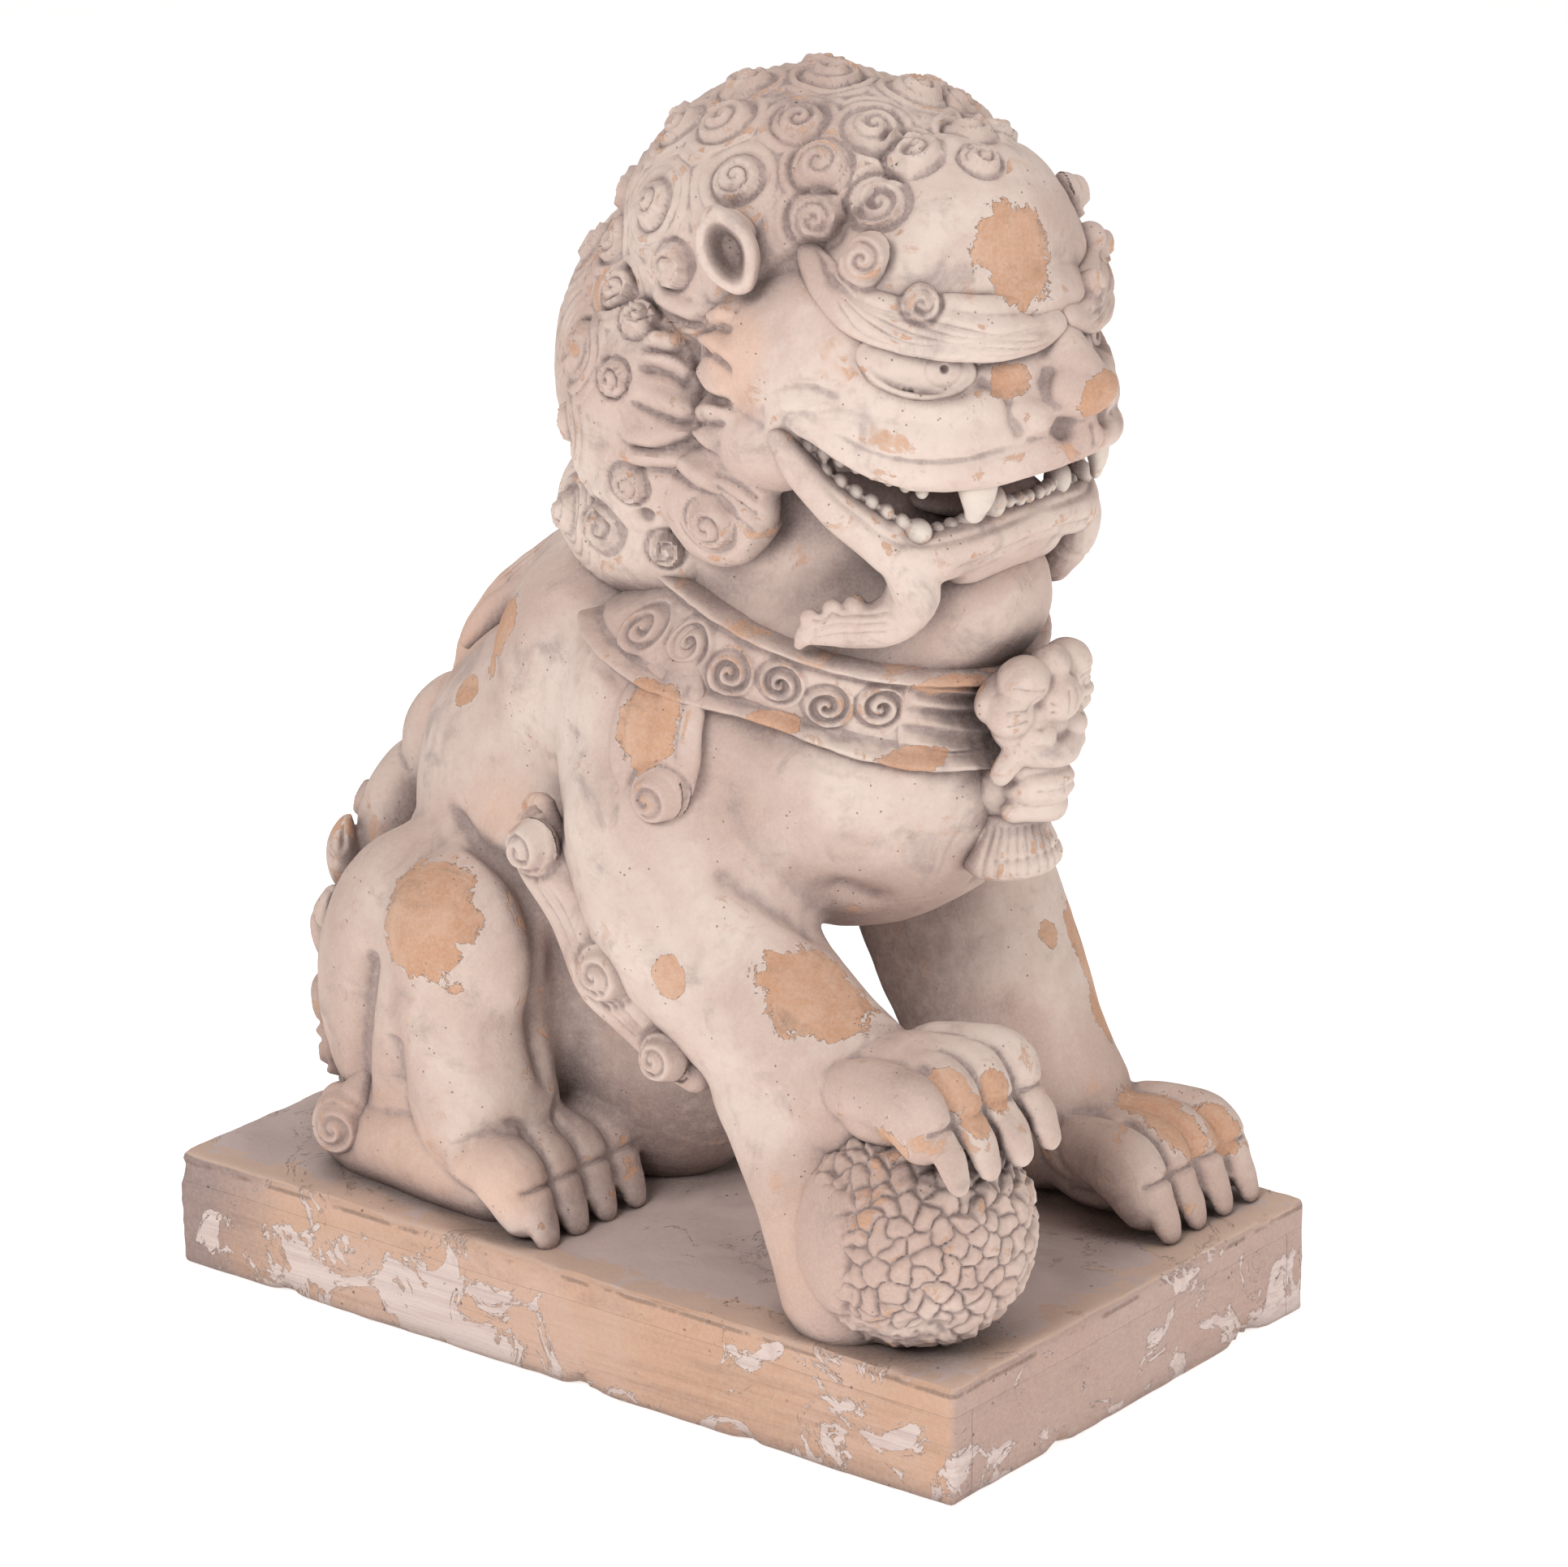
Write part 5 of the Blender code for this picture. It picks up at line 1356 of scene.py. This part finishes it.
# ---------------------------------------------------------------- locks, fringes, tail
def make_locks(hair_mat):
    """The locks of hair on shoulders, elbows, hocks and back."""
    for side, tag in SIDES:
        out = (side * 0.97, -0.18, 0.1)
        # flame lock on the shoulder, ending in a curl over a drop
        parts = [roll([(side * 0.096, -0.046, 0.370, 0.012), (side * 0.1065, -0.045, 0.352, 0.019),
                       (side * 0.117, -0.045, 0.330, 0.024), (side * 0.121, -0.046, 0.308, 0.022),
                       (side * 0.123, -0.046, 0.290, 0.015), (side * 0.123, -0.047, 0.279, 0.007)],
                      flat=0.42, face=out, sides=24)]
        parts.append(lump(side * 0.126, -0.052, 0.304, 0.0090, 0.0145, 0.0145))
        s = Skin(fuse(parts, 0.0011, 5))
        s.curl((side * 0.136, -0.053, 0.303), 0.0125, 1.9, side, 0.0030, 0.0016)
        s.stroke([(side * 0.110, -0.060, 0.360), (side * 0.124, -0.062, 0.335),
                  (side * 0.132, -0.066, 0.318)],
                 0.004, 0.0015)
        s.stroke([(side * 0.110, -0.034, 0.360), (side * 0.124, -0.032, 0.335),
                  (side * 0.132, -0.036, 0.318)],
                 0.004, 0.0015)
        s.stroke([(side * 0.112, -0.047, 0.366), (side * 0.126, -0.047, 0.344),
                  (side * 0.132, -0.050, 0.324)],
                 0.0035, 0.0012)
        s.rough(0.012, 0.0007, 21)
        done(s, "shoulder_lock_" + tag, hair_mat)

        # curling fringe behind the foreleg
        if side == RIGHT:
            spine = [(-0.116, 0.028, 0.274, 0.011), (-0.119, 0.022, 0.256, 0.016),
                     (-0.121, 0.000, 0.234, 0.016), (-0.124, -0.020, 0.208, 0.018),
                     (-0.121, -0.046, 0.186, 0.016), (-0.117, -0.066, 0.166, 0.011)]
            snails = [((-0.132, 0.020, 0.264), 0.0135, 1), ((-0.136, -0.026, 0.212), 0.0150, -1),
                      ((-0.134, -0.060, 0.176), 0.0125, -1)]
        else:
            spine = [(0.116, 0.016, 0.266, 0.010), (0.118, 0.010, 0.245, 0.013),
                     (0.120, -0.008, 0.205, 0.013), (0.122, -0.034, 0.165, 0.014),
                     (0.120, -0.060, 0.130, 0.010)]
            snails = [((0.130, 0.012, 0.250), 0.0135, -1), ((0.133, -0.014, 0.205), 0.0140, 1),
                      ((0.131, -0.048, 0.150), 0.0125, 1)]
        parts = [roll(spine, flat=0.75, face=out, sides=18)]
        for c, r, hand in snails:
            parts.append(lump(c[0] * 0.975, c[1], c[2], 0.0085, r * 1.02, r * 1.02))
        s = Skin(fuse(parts, 0.0011, 4))
        for up in (-0.007, -0.0015, 0.004):
            s.stroke([(side * 0.140, y, z + up) for x, y, z, r in spine], 0.003, 0.0013)
        s.fresh()
        for c, r, hand in snails:
            s.curl(c, r, 2.2, hand, 0.0035, 0.0015)
        s.rough(0.012, 0.0006, 22)
        done(s, "elbow_fringe_" + tag, hair_mat)

        # curl behind the hock
        parts = [lump(side * 0.117, 0.156, 0.088, 0.0140, 0.0170, 0.0200),
                 roll([(side * 0.112, 0.146, 0.112, 0.006), (side * 0.118, 0.150, 0.098, 0.011)])]
        s = Skin(fuse(parts, 0.0010, 4))
        s.curl((side * 0.130, 0.152, 0.088), 0.0150, 2.1, side, 0.0025, 0.0015)
        s.rough(0.010, 0.0005, 23)
        done(s, "hock_lock_" + tag, hair_mat)

    # three-tongued lock down the back
    parts = [roll([(0, 0.096, 0.375, 0.008), (0, 0.116, 0.356, 0.012), (0, 0.140, 0.330, 0.016),
                   (0, 0.160, 0.303, 0.014), (0, 0.170, 0.292, 0.008)])]
    parts += both(roll, [(0.004, 0.112, 0.352, 0.008), (0.020, 0.132, 0.334, 0.009),
                         (0.026, 0.146, 0.318, 0.006)])
    s = Skin(fuse(parts, 0.0012, 4))
    for off in (-0.018, -0.009, 0.0, 0.009, 0.018):
        s.stroke([(off * 0.4, 0.110, 0.372), (off, 0.140, 0.345), (off * 1.2, 0.165, 0.312)], 0.003, 0.0012)
    s.rough(0.012, 0.0006, 24)
    done(s, "spine_lock", hair_mat)


def make_tail(hair_mat):
    """A bushy tail laid up against the back, of flame-shaped tongues."""
    parts = [lump(0, 0.178, 0.252, 0.034, 0.024, 0.036), lump(0, 0.193, 0.212, 0.054, 0.026, 0.044),
             lump(0, 0.204, 0.155, 0.060, 0.027, 0.045), lump(0, 0.205, 0.105, 0.060, 0.027, 0.040)]
    # flame tongues along both edges and down the middle
    for side in (RIGHT, LEFT):
        for y, z, reach, r in ((0.201, 0.198, 0.058, 0.015), (0.205, 0.160, 0.066, 0.016),
                               (0.205, 0.122, 0.067, 0.016), (0.204, 0.092, 0.058, 0.014)):
            parts.append(roll([(side * reach * 0.35, y + 0.006, z - 0.022, r * 0.9),
                               (side * reach * 0.75, y + 0.008, z - 0.010, r),
                               (side * reach, y + 0.004, z + 0.008, r * 0.75),
                               (side * (reach + 0.004), y - 0.002, z + 0.024, r * 0.30)], flat=0.8,
                              face=(side * 0.3, 0.95, 0)))
    s = Skin(fuse(parts, 0.0015, 4))
    for side in (RIGHT, LEFT):
        for k in range(9):
            x = side * (0.006 + 0.0068 * k)
            z0 = 0.285 - 0.010 * k
            s.stroke([(x * 0.45, 0.215, z0), (x * 0.85 + side * 0.006, 0.226, z0 - 0.042),
                      (x * 1.02, 0.232, z0 - 0.088), (x * 0.96 + side * 0.005, 0.234, z0 - 0.130),
                      (x * 1.00, 0.232, z0 - 0.168)], 0.0036, 0.0019)
        # strands seen on the edge
        for k in range(6):
            z0 = 0.262 - 0.031 * k
            s.stroke([(side * 0.080, 0.172, z0 - 0.030), (side * 0.080, 0.190, z0 - 0.012),
                      (side * 0.080, 0.206, z0 - 0.004), (side * 0.070, 0.222, z0 + 0.010)], 0.004, 0.0020)
        s.curl((side * 0.062, 0.222, 0.096), 0.015, 2.0, side, 0.003, 0.0015)
        s.curl((side * 0.040, 0.226, 0.225), 0.011, 2.0, -side, 0.003, 0.0013)
    s.p[:, 2] = np.maximum(s.p[:, 2], DECK_TOP - 0.002)
    s.p[:, 1] = np.minimum(s.p[:, 1], 0.246)
    s.rough(0.014, 0.0007, 25)
    done(s, "tail", hair_mat)


# ---------------------------------------------------------------- ball
BALL_RADIUS, SCALES = 0.056, 330


def make_ball(mat):
    """A ball covered with worn scales, with a plain web where the paw's skin runs over it."""
    c = np.array((-0.105, -0.188, 0.113))
    bpy.ops.object.select_all(action="DESELECT")
    bpy.ops.mesh.primitive_ico_sphere_add(subdivisions=7, radius=BALL_RADIUS)
    ball = bpy.context.active_object
    ball.data.transform(Matrix.Translation(tuple(c)))
    s = Skin(ball)
    d = (s.p - c) / BALL_RADIUS
    # scales: an uneven spread of middles, every point belonging to the nearest
    k = np.arange(SCALES)
    z = 1 - 2 * (k + 0.5) / SCALES
    flat = np.sqrt(1 - z * z)
    mids = np.stack([flat * np.cos(GOLDEN_TURN * k), flat * np.sin(GOLDEN_TURN * k), z], 1)
    mids += 0.085 * np.stack([uneven(mids, 0.06, 34), uneven(mids, 0.06, 35), uneven(mids, 0.06, 36)], 1)
    mids /= np.linalg.norm(mids, axis=1)[:, None]
    q = d + 0.060 * np.stack([uneven(d, 0.13, 37), uneven(d, 0.13, 38), uneven(d, 0.13, 39)], 1)
    first = np.full(len(d), 9.0)
    second = np.full(len(d), 9.0)
    own = np.zeros(len(d), int)
    for n, m in enumerate(mids):
        far = np.linalg.norm(q - m, axis=1)
        closer = far < first
        second = np.where(closer, first, np.minimum(second, far))
        own[closer] = n
        first = np.where(closer, far, first)
    gap = second - first
    tall = 0.75 + 0.25 * np.sin(own * 2.3)
    boss = np.sqrt(ease(gap, 0.0, 0.110)) * tall
    crack = np.exp(-(gap / 0.016) ** 2)
    side = -0.85 * d[:, 0] + 0.53 * d[:, 1] - 0.05 * uneven(d, 0.25, 45)
    plain = ease(side, 0.78, 0.88)
    crease = np.exp(-((side - 0.79) / 0.022) ** 2)
    broken = ease(-d[:, 2] + 0.5 * uneven(d, 0.35, 40), 0.45, 0.75)
    lift = 0.0030 * boss - 0.0010 * crack + 0.0018 * uneven(s.p, 0.010, 32) + 0.0007 * uneven(s.p, 0.0035, 33)
    rubble = 0.0024 * uneven(s.p, 0.007, 43) + 0.0012 * uneven(s.p, 0.003, 44)
    lift = lift * (1 - broken) + rubble * broken
    s.p += s.n * (lift * (1 - 0.92 * plain) + 0.0022 * plain - 0.0013 * crease - 0.0010)[:, None]
    s.p[:, 2] = np.maximum(s.p[:, 2], DECK_TOP - 0.001)
    done(s, "brocade_ball", mat)


# ---------------------------------------------------------------- collar, bow and bell
def scroll_lift(dx, dy, radius, hand):
    """How high a scroll stands at a place this far from its middle."""
    q = math.hypot(dx, dy) / radius
    if q >= 1.25:
        return 0.0
    turn = math.atan2(dy, dx) * hand / (2 * math.pi)
    fade = 1 if q < 0.95 else max(0, (1.25 - q) / 0.30)
    return fade * (0.0022 * math.cos(2 * math.pi * (q * 1.8 - turn)) + 0.0016 * (1 - q * 0.6))


def make_collar_band(tree, slip):
    """A strap laid round the neck, with a bead along each edge, scrolls at the sides and gathers in front."""
    tilt = math.radians(17)
    c = np.array((0.0, -0.050, 0.369))
    across = np.array((1.0, 0, 0))
    back = np.array((0, math.cos(tilt), math.sin(tilt)))
    up = np.array((0, -math.sin(tilt), math.cos(tilt)))
    wide = 0.0215                                # half the strap's width
    reach = math.radians(126)                    # how far round it goes at each side
    nu, nv = 560, 44                             # points along the strap and across it
    mu, mv = 60, 8                               # coarser steps in which the neck is measured

    def station(i, steps):
        """Angle, way out from the neck, and place among the measured steps."""
        a = -reach + 2 * reach * i / steps
        return a, math.sin(a) * across - math.cos(a) * back, (a + reach) / (2 * reach) * mu

    radii = np.zeros((mu + 1, mv + 1))
    for i in range(mu + 1):
        way = station(i, mu)[1]
        for j in range(mv + 1):
            h = -wide + 2 * wide * j / mv
            hit = tree.ray_cast(Vector(c + way * 0.35 + up * h), Vector(-way))[0]
            radii[i, j] = (np.array(hit) - c - up * h) @ way if hit is not None else np.nan
    radii = np.where(np.isnan(radii), np.nanmean(radii), radii)
    for _ in range(3):
        radii[1:-1] = (radii[:-2] + 2 * radii[1:-1] + radii[2:]) / 4
    verts = []
    scrolls = []                                 # place along and across, radius, hand
    for side in (-1, 1):
        for k, s0 in enumerate((0.062, 0.085, 0.108, 0.132, 0.156, 0.180)):
            scrolls.append((side * s0, 0.0022 * (-1) ** k, 0.0105, side * (-1) ** k))
    for i in range(nu + 1):
        a, way, fi = station(i, nu)
        i0 = min(int(fi), mu - 1)
        s_pos = a * 0.100
        for j in range(nv):
            t = j / (nv - 1)
            h = wide * (1 - 2 * t)
            fj = (h + wide) / (2 * wide) * mv
            j0 = min(int(fj), mv - 1)
            ti, tj = fi - i0, fj - j0
            r = ((radii[i0, j0] * (1 - tj) + radii[i0, j0 + 1] * tj) * (1 - ti)
                 + (radii[i0 + 1, j0] * (1 - tj) + radii[i0 + 1, j0 + 1] * tj) * ti)
            edge = abs(h) / wide
            lift = (0.0048 + 0.0062 * math.exp(-((edge - 0.84) / 0.13) ** 2)
                    - 0.0016 * math.exp(-((edge - 0.64) / 0.08) ** 2))
            if edge < 0.66:
                front = min(abs(s_pos) / 0.052, 1.0)
                if front < 1:
                    gather = math.cos(h * 2 * math.pi / 0.0088 + 5 * s_pos / 0.05)
                    lift += 0.0022 * gather * (1 - front ** 6) + 0.001
                else:
                    lift += sum(scroll_lift(s_pos - sc, h - sh, sr, hand) for sc, sh, sr, hand in scrolls)
            if edge > 0.985:
                lift = -0.002
            verts.append(c + way * (r + lift) + up * h)
    n_out = len(verts)                           # the strap's inner side starts here
    for i in range(nu + 1):
        _, way, fi = station(i, nu)
        i0 = min(int(fi), mu - 1)
        r = radii[i0, 4] * (1 - fi + i0) + radii[i0 + 1, 4] * (fi - i0)
        for j in range(2):
            h = wide * (1 - 2 * j) * 0.98
            k = mv if j == 0 else 0
            rr = radii[i0, k] * (1 - fi + i0) + radii[i0 + 1, k] * (fi - i0)
            verts.append(c + way * (min(r, rr) - 0.007) + up * h)
    faces = []
    for i in range(nu):
        for j in range(nv - 1):
            a0 = i * nv + j
            faces.append((a0, a0 + 1, a0 + nv + 1, a0 + nv))
        b0 = n_out + 2 * i
        faces.append((b0, b0 + 2, b0 + 3, b0 + 1))
        faces.append((i * nv, (i + 1) * nv, b0 + 2, b0))
        faces.append((i * nv + nv - 1, b0 + 1, b0 + 3, (i + 1) * nv + nv - 1))
    faces.append(tuple(range(nv))[::-1] + (n_out, n_out + 1))
    last = nu * nv
    faces.append(tuple(range(last, last + nv)) + (n_out + 2 * nu + 1, n_out + 2 * nu))
    mesh = bpy.data.meshes.new("collar_band")
    mesh.from_pydata([tuple(v) for v in verts], [], faces)
    obj = bpy.data.objects.new("collar_band", mesh)
    WORK.objects.link(obj)
    bm = bmesh.new()
    bm.from_mesh(mesh)
    bmesh.ops.recalc_face_normals(bm, faces=bm.faces)
    bmesh.ops.triangulate(bm, faces=[f for f in bm.faces if len(f.verts) > 4])
    bm.to_mesh(mesh)
    bm.free()
    s = Skin(obj)
    s.rough(0.010, 0.0006, 26)
    s.rough(0.004, 0.00025, 27)
    done(s, "collar_band", slip)


def make_collar_bow(slip):
    """Two looped rolls and a knot, with gathers at each side."""
    parts = [lump(0.000, -0.190, 0.346, 0.0135, 0.0110, 0.0125),
             lump(0.000, -0.178, 0.335, 0.030, 0.016, 0.018)]
    parts += both(lump, 0.017, -0.183, 0.357, 0.0140, 0.0125, 0.0120)
    parts += both(lump, 0.024, -0.180, 0.342, 0.0125, 0.0115, 0.0120)
    parts += both(lump, 0.013, -0.187, 0.330, 0.0110, 0.0100, 0.0085)
    parts += both(roll, [(0.010, -0.186, 0.332, 0.0060), (0.021, -0.182, 0.322, 0.0066),
                         (0.026, -0.177, 0.312, 0.0052)])
    parts += [lump(0, -0.186, 0.362, 0.0105, 0.0100, 0.0085),
              roll([(-0.016, -0.188, 0.322, 0.0068), (0.0, -0.193, 0.320, 0.0074),
                    (0.016, -0.188, 0.322, 0.0068)]),
              lump(0.0, -0.172, 0.345, 0.036, 0.014, 0.016)]
    s = Skin(fuse(parts, 0.0010, 3))
    for side in (RIGHT, LEFT):
        for up_by in (-0.005, 0.0, 0.005):
            s.stroke([(side * 0.010, -0.200, 0.345 + up_by), (side * 0.024, -0.196, 0.347 + up_by * 1.5),
                      (side * 0.040, -0.186, 0.347 + up_by * 2.0)], 0.0026, 0.0013)
    for y in (-0.004, 0.004):
        s.stroke([(y, -0.204, 0.357), (y, -0.205, 0.346), (y, -0.203, 0.336)], 0.0024, 0.0011)
    s.rough(0.008, 0.0006, 28)
    done(s, "collar_bow", slip)


def make_collar_bell(slip):
    """A squat bell between two cords."""
    parts = [lump(0.0, -0.179, 0.303, 0.0205, 0.0180, 0.0125),
             roll([(-0.016, -0.180, 0.314, 0.0062), (0.0, -0.187, 0.315, 0.0066),
                   (0.016, -0.180, 0.314, 0.0062)]),
             roll([(-0.018, -0.178, 0.292, 0.0055), (0.0, -0.189, 0.291, 0.0058),
                   (0.018, -0.178, 0.292, 0.0055)]),
             lump(0.0, -0.165, 0.300, 0.022, 0.016, 0.020)]
    s = Skin(fuse(parts, 0.0010, 3))
    s.stroke([(-0.022, -0.190, 0.303), (0.0, -0.200, 0.303), (0.022, -0.190, 0.303)], 0.003, 0.0014)
    s.stroke([(0.0, -0.200, 0.310), (0.0, -0.200, 0.298)], 0.003, 0.0012)
    s.rough(0.008, 0.0005, 29)
    done(s, "collar_bell", slip)


def make_bell_tassel(slip):
    """A tassel that flares like a skirt."""
    bpy.ops.object.select_all(action="DESELECT")
    bpy.ops.mesh.primitive_cylinder_add(vertices=96, radius=1.0, depth=1.0, end_fill_type="NGON")
    skirt = bpy.context.active_object
    bm = bmesh.new()
    bm.from_mesh(skirt.data)
    for k in range(1, 14):
        geom = bm.verts[:] + bm.edges[:] + bm.faces[:]
        bmesh.ops.bisect_plane(bm, geom=geom, plane_co=(0, 0, -0.5 + k / 14), plane_no=(0, 0, 1))
    for v in bm.verts:
        t = v.co.z + 0.5
        flare = np.interp(t, [0, 0.08, 0.2, 0.45, 0.75, 0.93, 1.0], [0.86, 0.98, 1.0, 0.86, 0.66, 0.62, 0.50])
        v.co.x *= flare * 0.0285
        v.co.y *= flare * 0.0215
        v.co.z = 0.2575 + 0.031 * t
        v.co.y += -0.168 + 0.002 * (1 - t)
    bm.to_mesh(skirt.data)
    bm.free()
    s = Skin(fuse([skirt, lump(0, -0.158, 0.276, 0.022, 0.012, 0.014)], 0.0009, 3))
    for k in range(-6, 7):
        a = math.radians(k * 15)
        s.stroke([(0.019 * math.sin(a), -0.168 - 0.016 * math.cos(a), 0.284),
                  (0.027 * math.sin(a), -0.168 - 0.021 * math.cos(a), 0.258)], 0.0028, 0.0011, taper=0.05)
    s.stroke([(0.03 * math.sin(math.radians(a)), -0.168 - 0.024 * math.cos(math.radians(a)), 0.2705)
              for a in range(-90, 91, 15)], 0.0028, 0.0010)
    s.rough(0.008, 0.0004, 30)
    done(s, "bell_tassel", slip)


# ---------------------------------------------------------------- the statue
set_camera()
set_floor()
set_light()

smooth_slip = slip_over_clay("flaked_pink_slip")
hair_slip = slip_over_clay("rubbed_hair_slip", hair=1.0)
relief_slip = slip_over_clay("rubbed_relief_slip", cover=1.02, hair=1.4)
tooth_slip = slip_over_clay("tooth_slip", cover=0.9, pale=(0.74, 0.65, 0.57), pink=(0.66, 0.55, 0.48))
# a darker copy of the slip for the tongue: painted shade inside the mouth
mouth_shaded_slip = slip_over_clay("mouth_painted_shade_slip", cover=0.9, pale=(0.46, 0.35, 0.31), pink=(0.38, 0.28, 0.25))

make_plinth()
body_tree = make_body(smooth_slip)
make_head(smooth_slip, hair_slip)
make_ears(smooth_slip)
make_brows(hair_slip)
make_eyes(smooth_slip)
make_nose(smooth_slip)
make_jaw(smooth_slip, mouth_shaded_slip)
make_teeth_and_beard(smooth_slip, tooth_slip)
make_locks(hair_slip)
make_tail(hair_slip)
make_ball(relief_slip)
make_collar_band(body_tree, relief_slip)
make_collar_bow(relief_slip)
make_collar_bell(relief_slip)
make_bell_tassel(relief_slip)
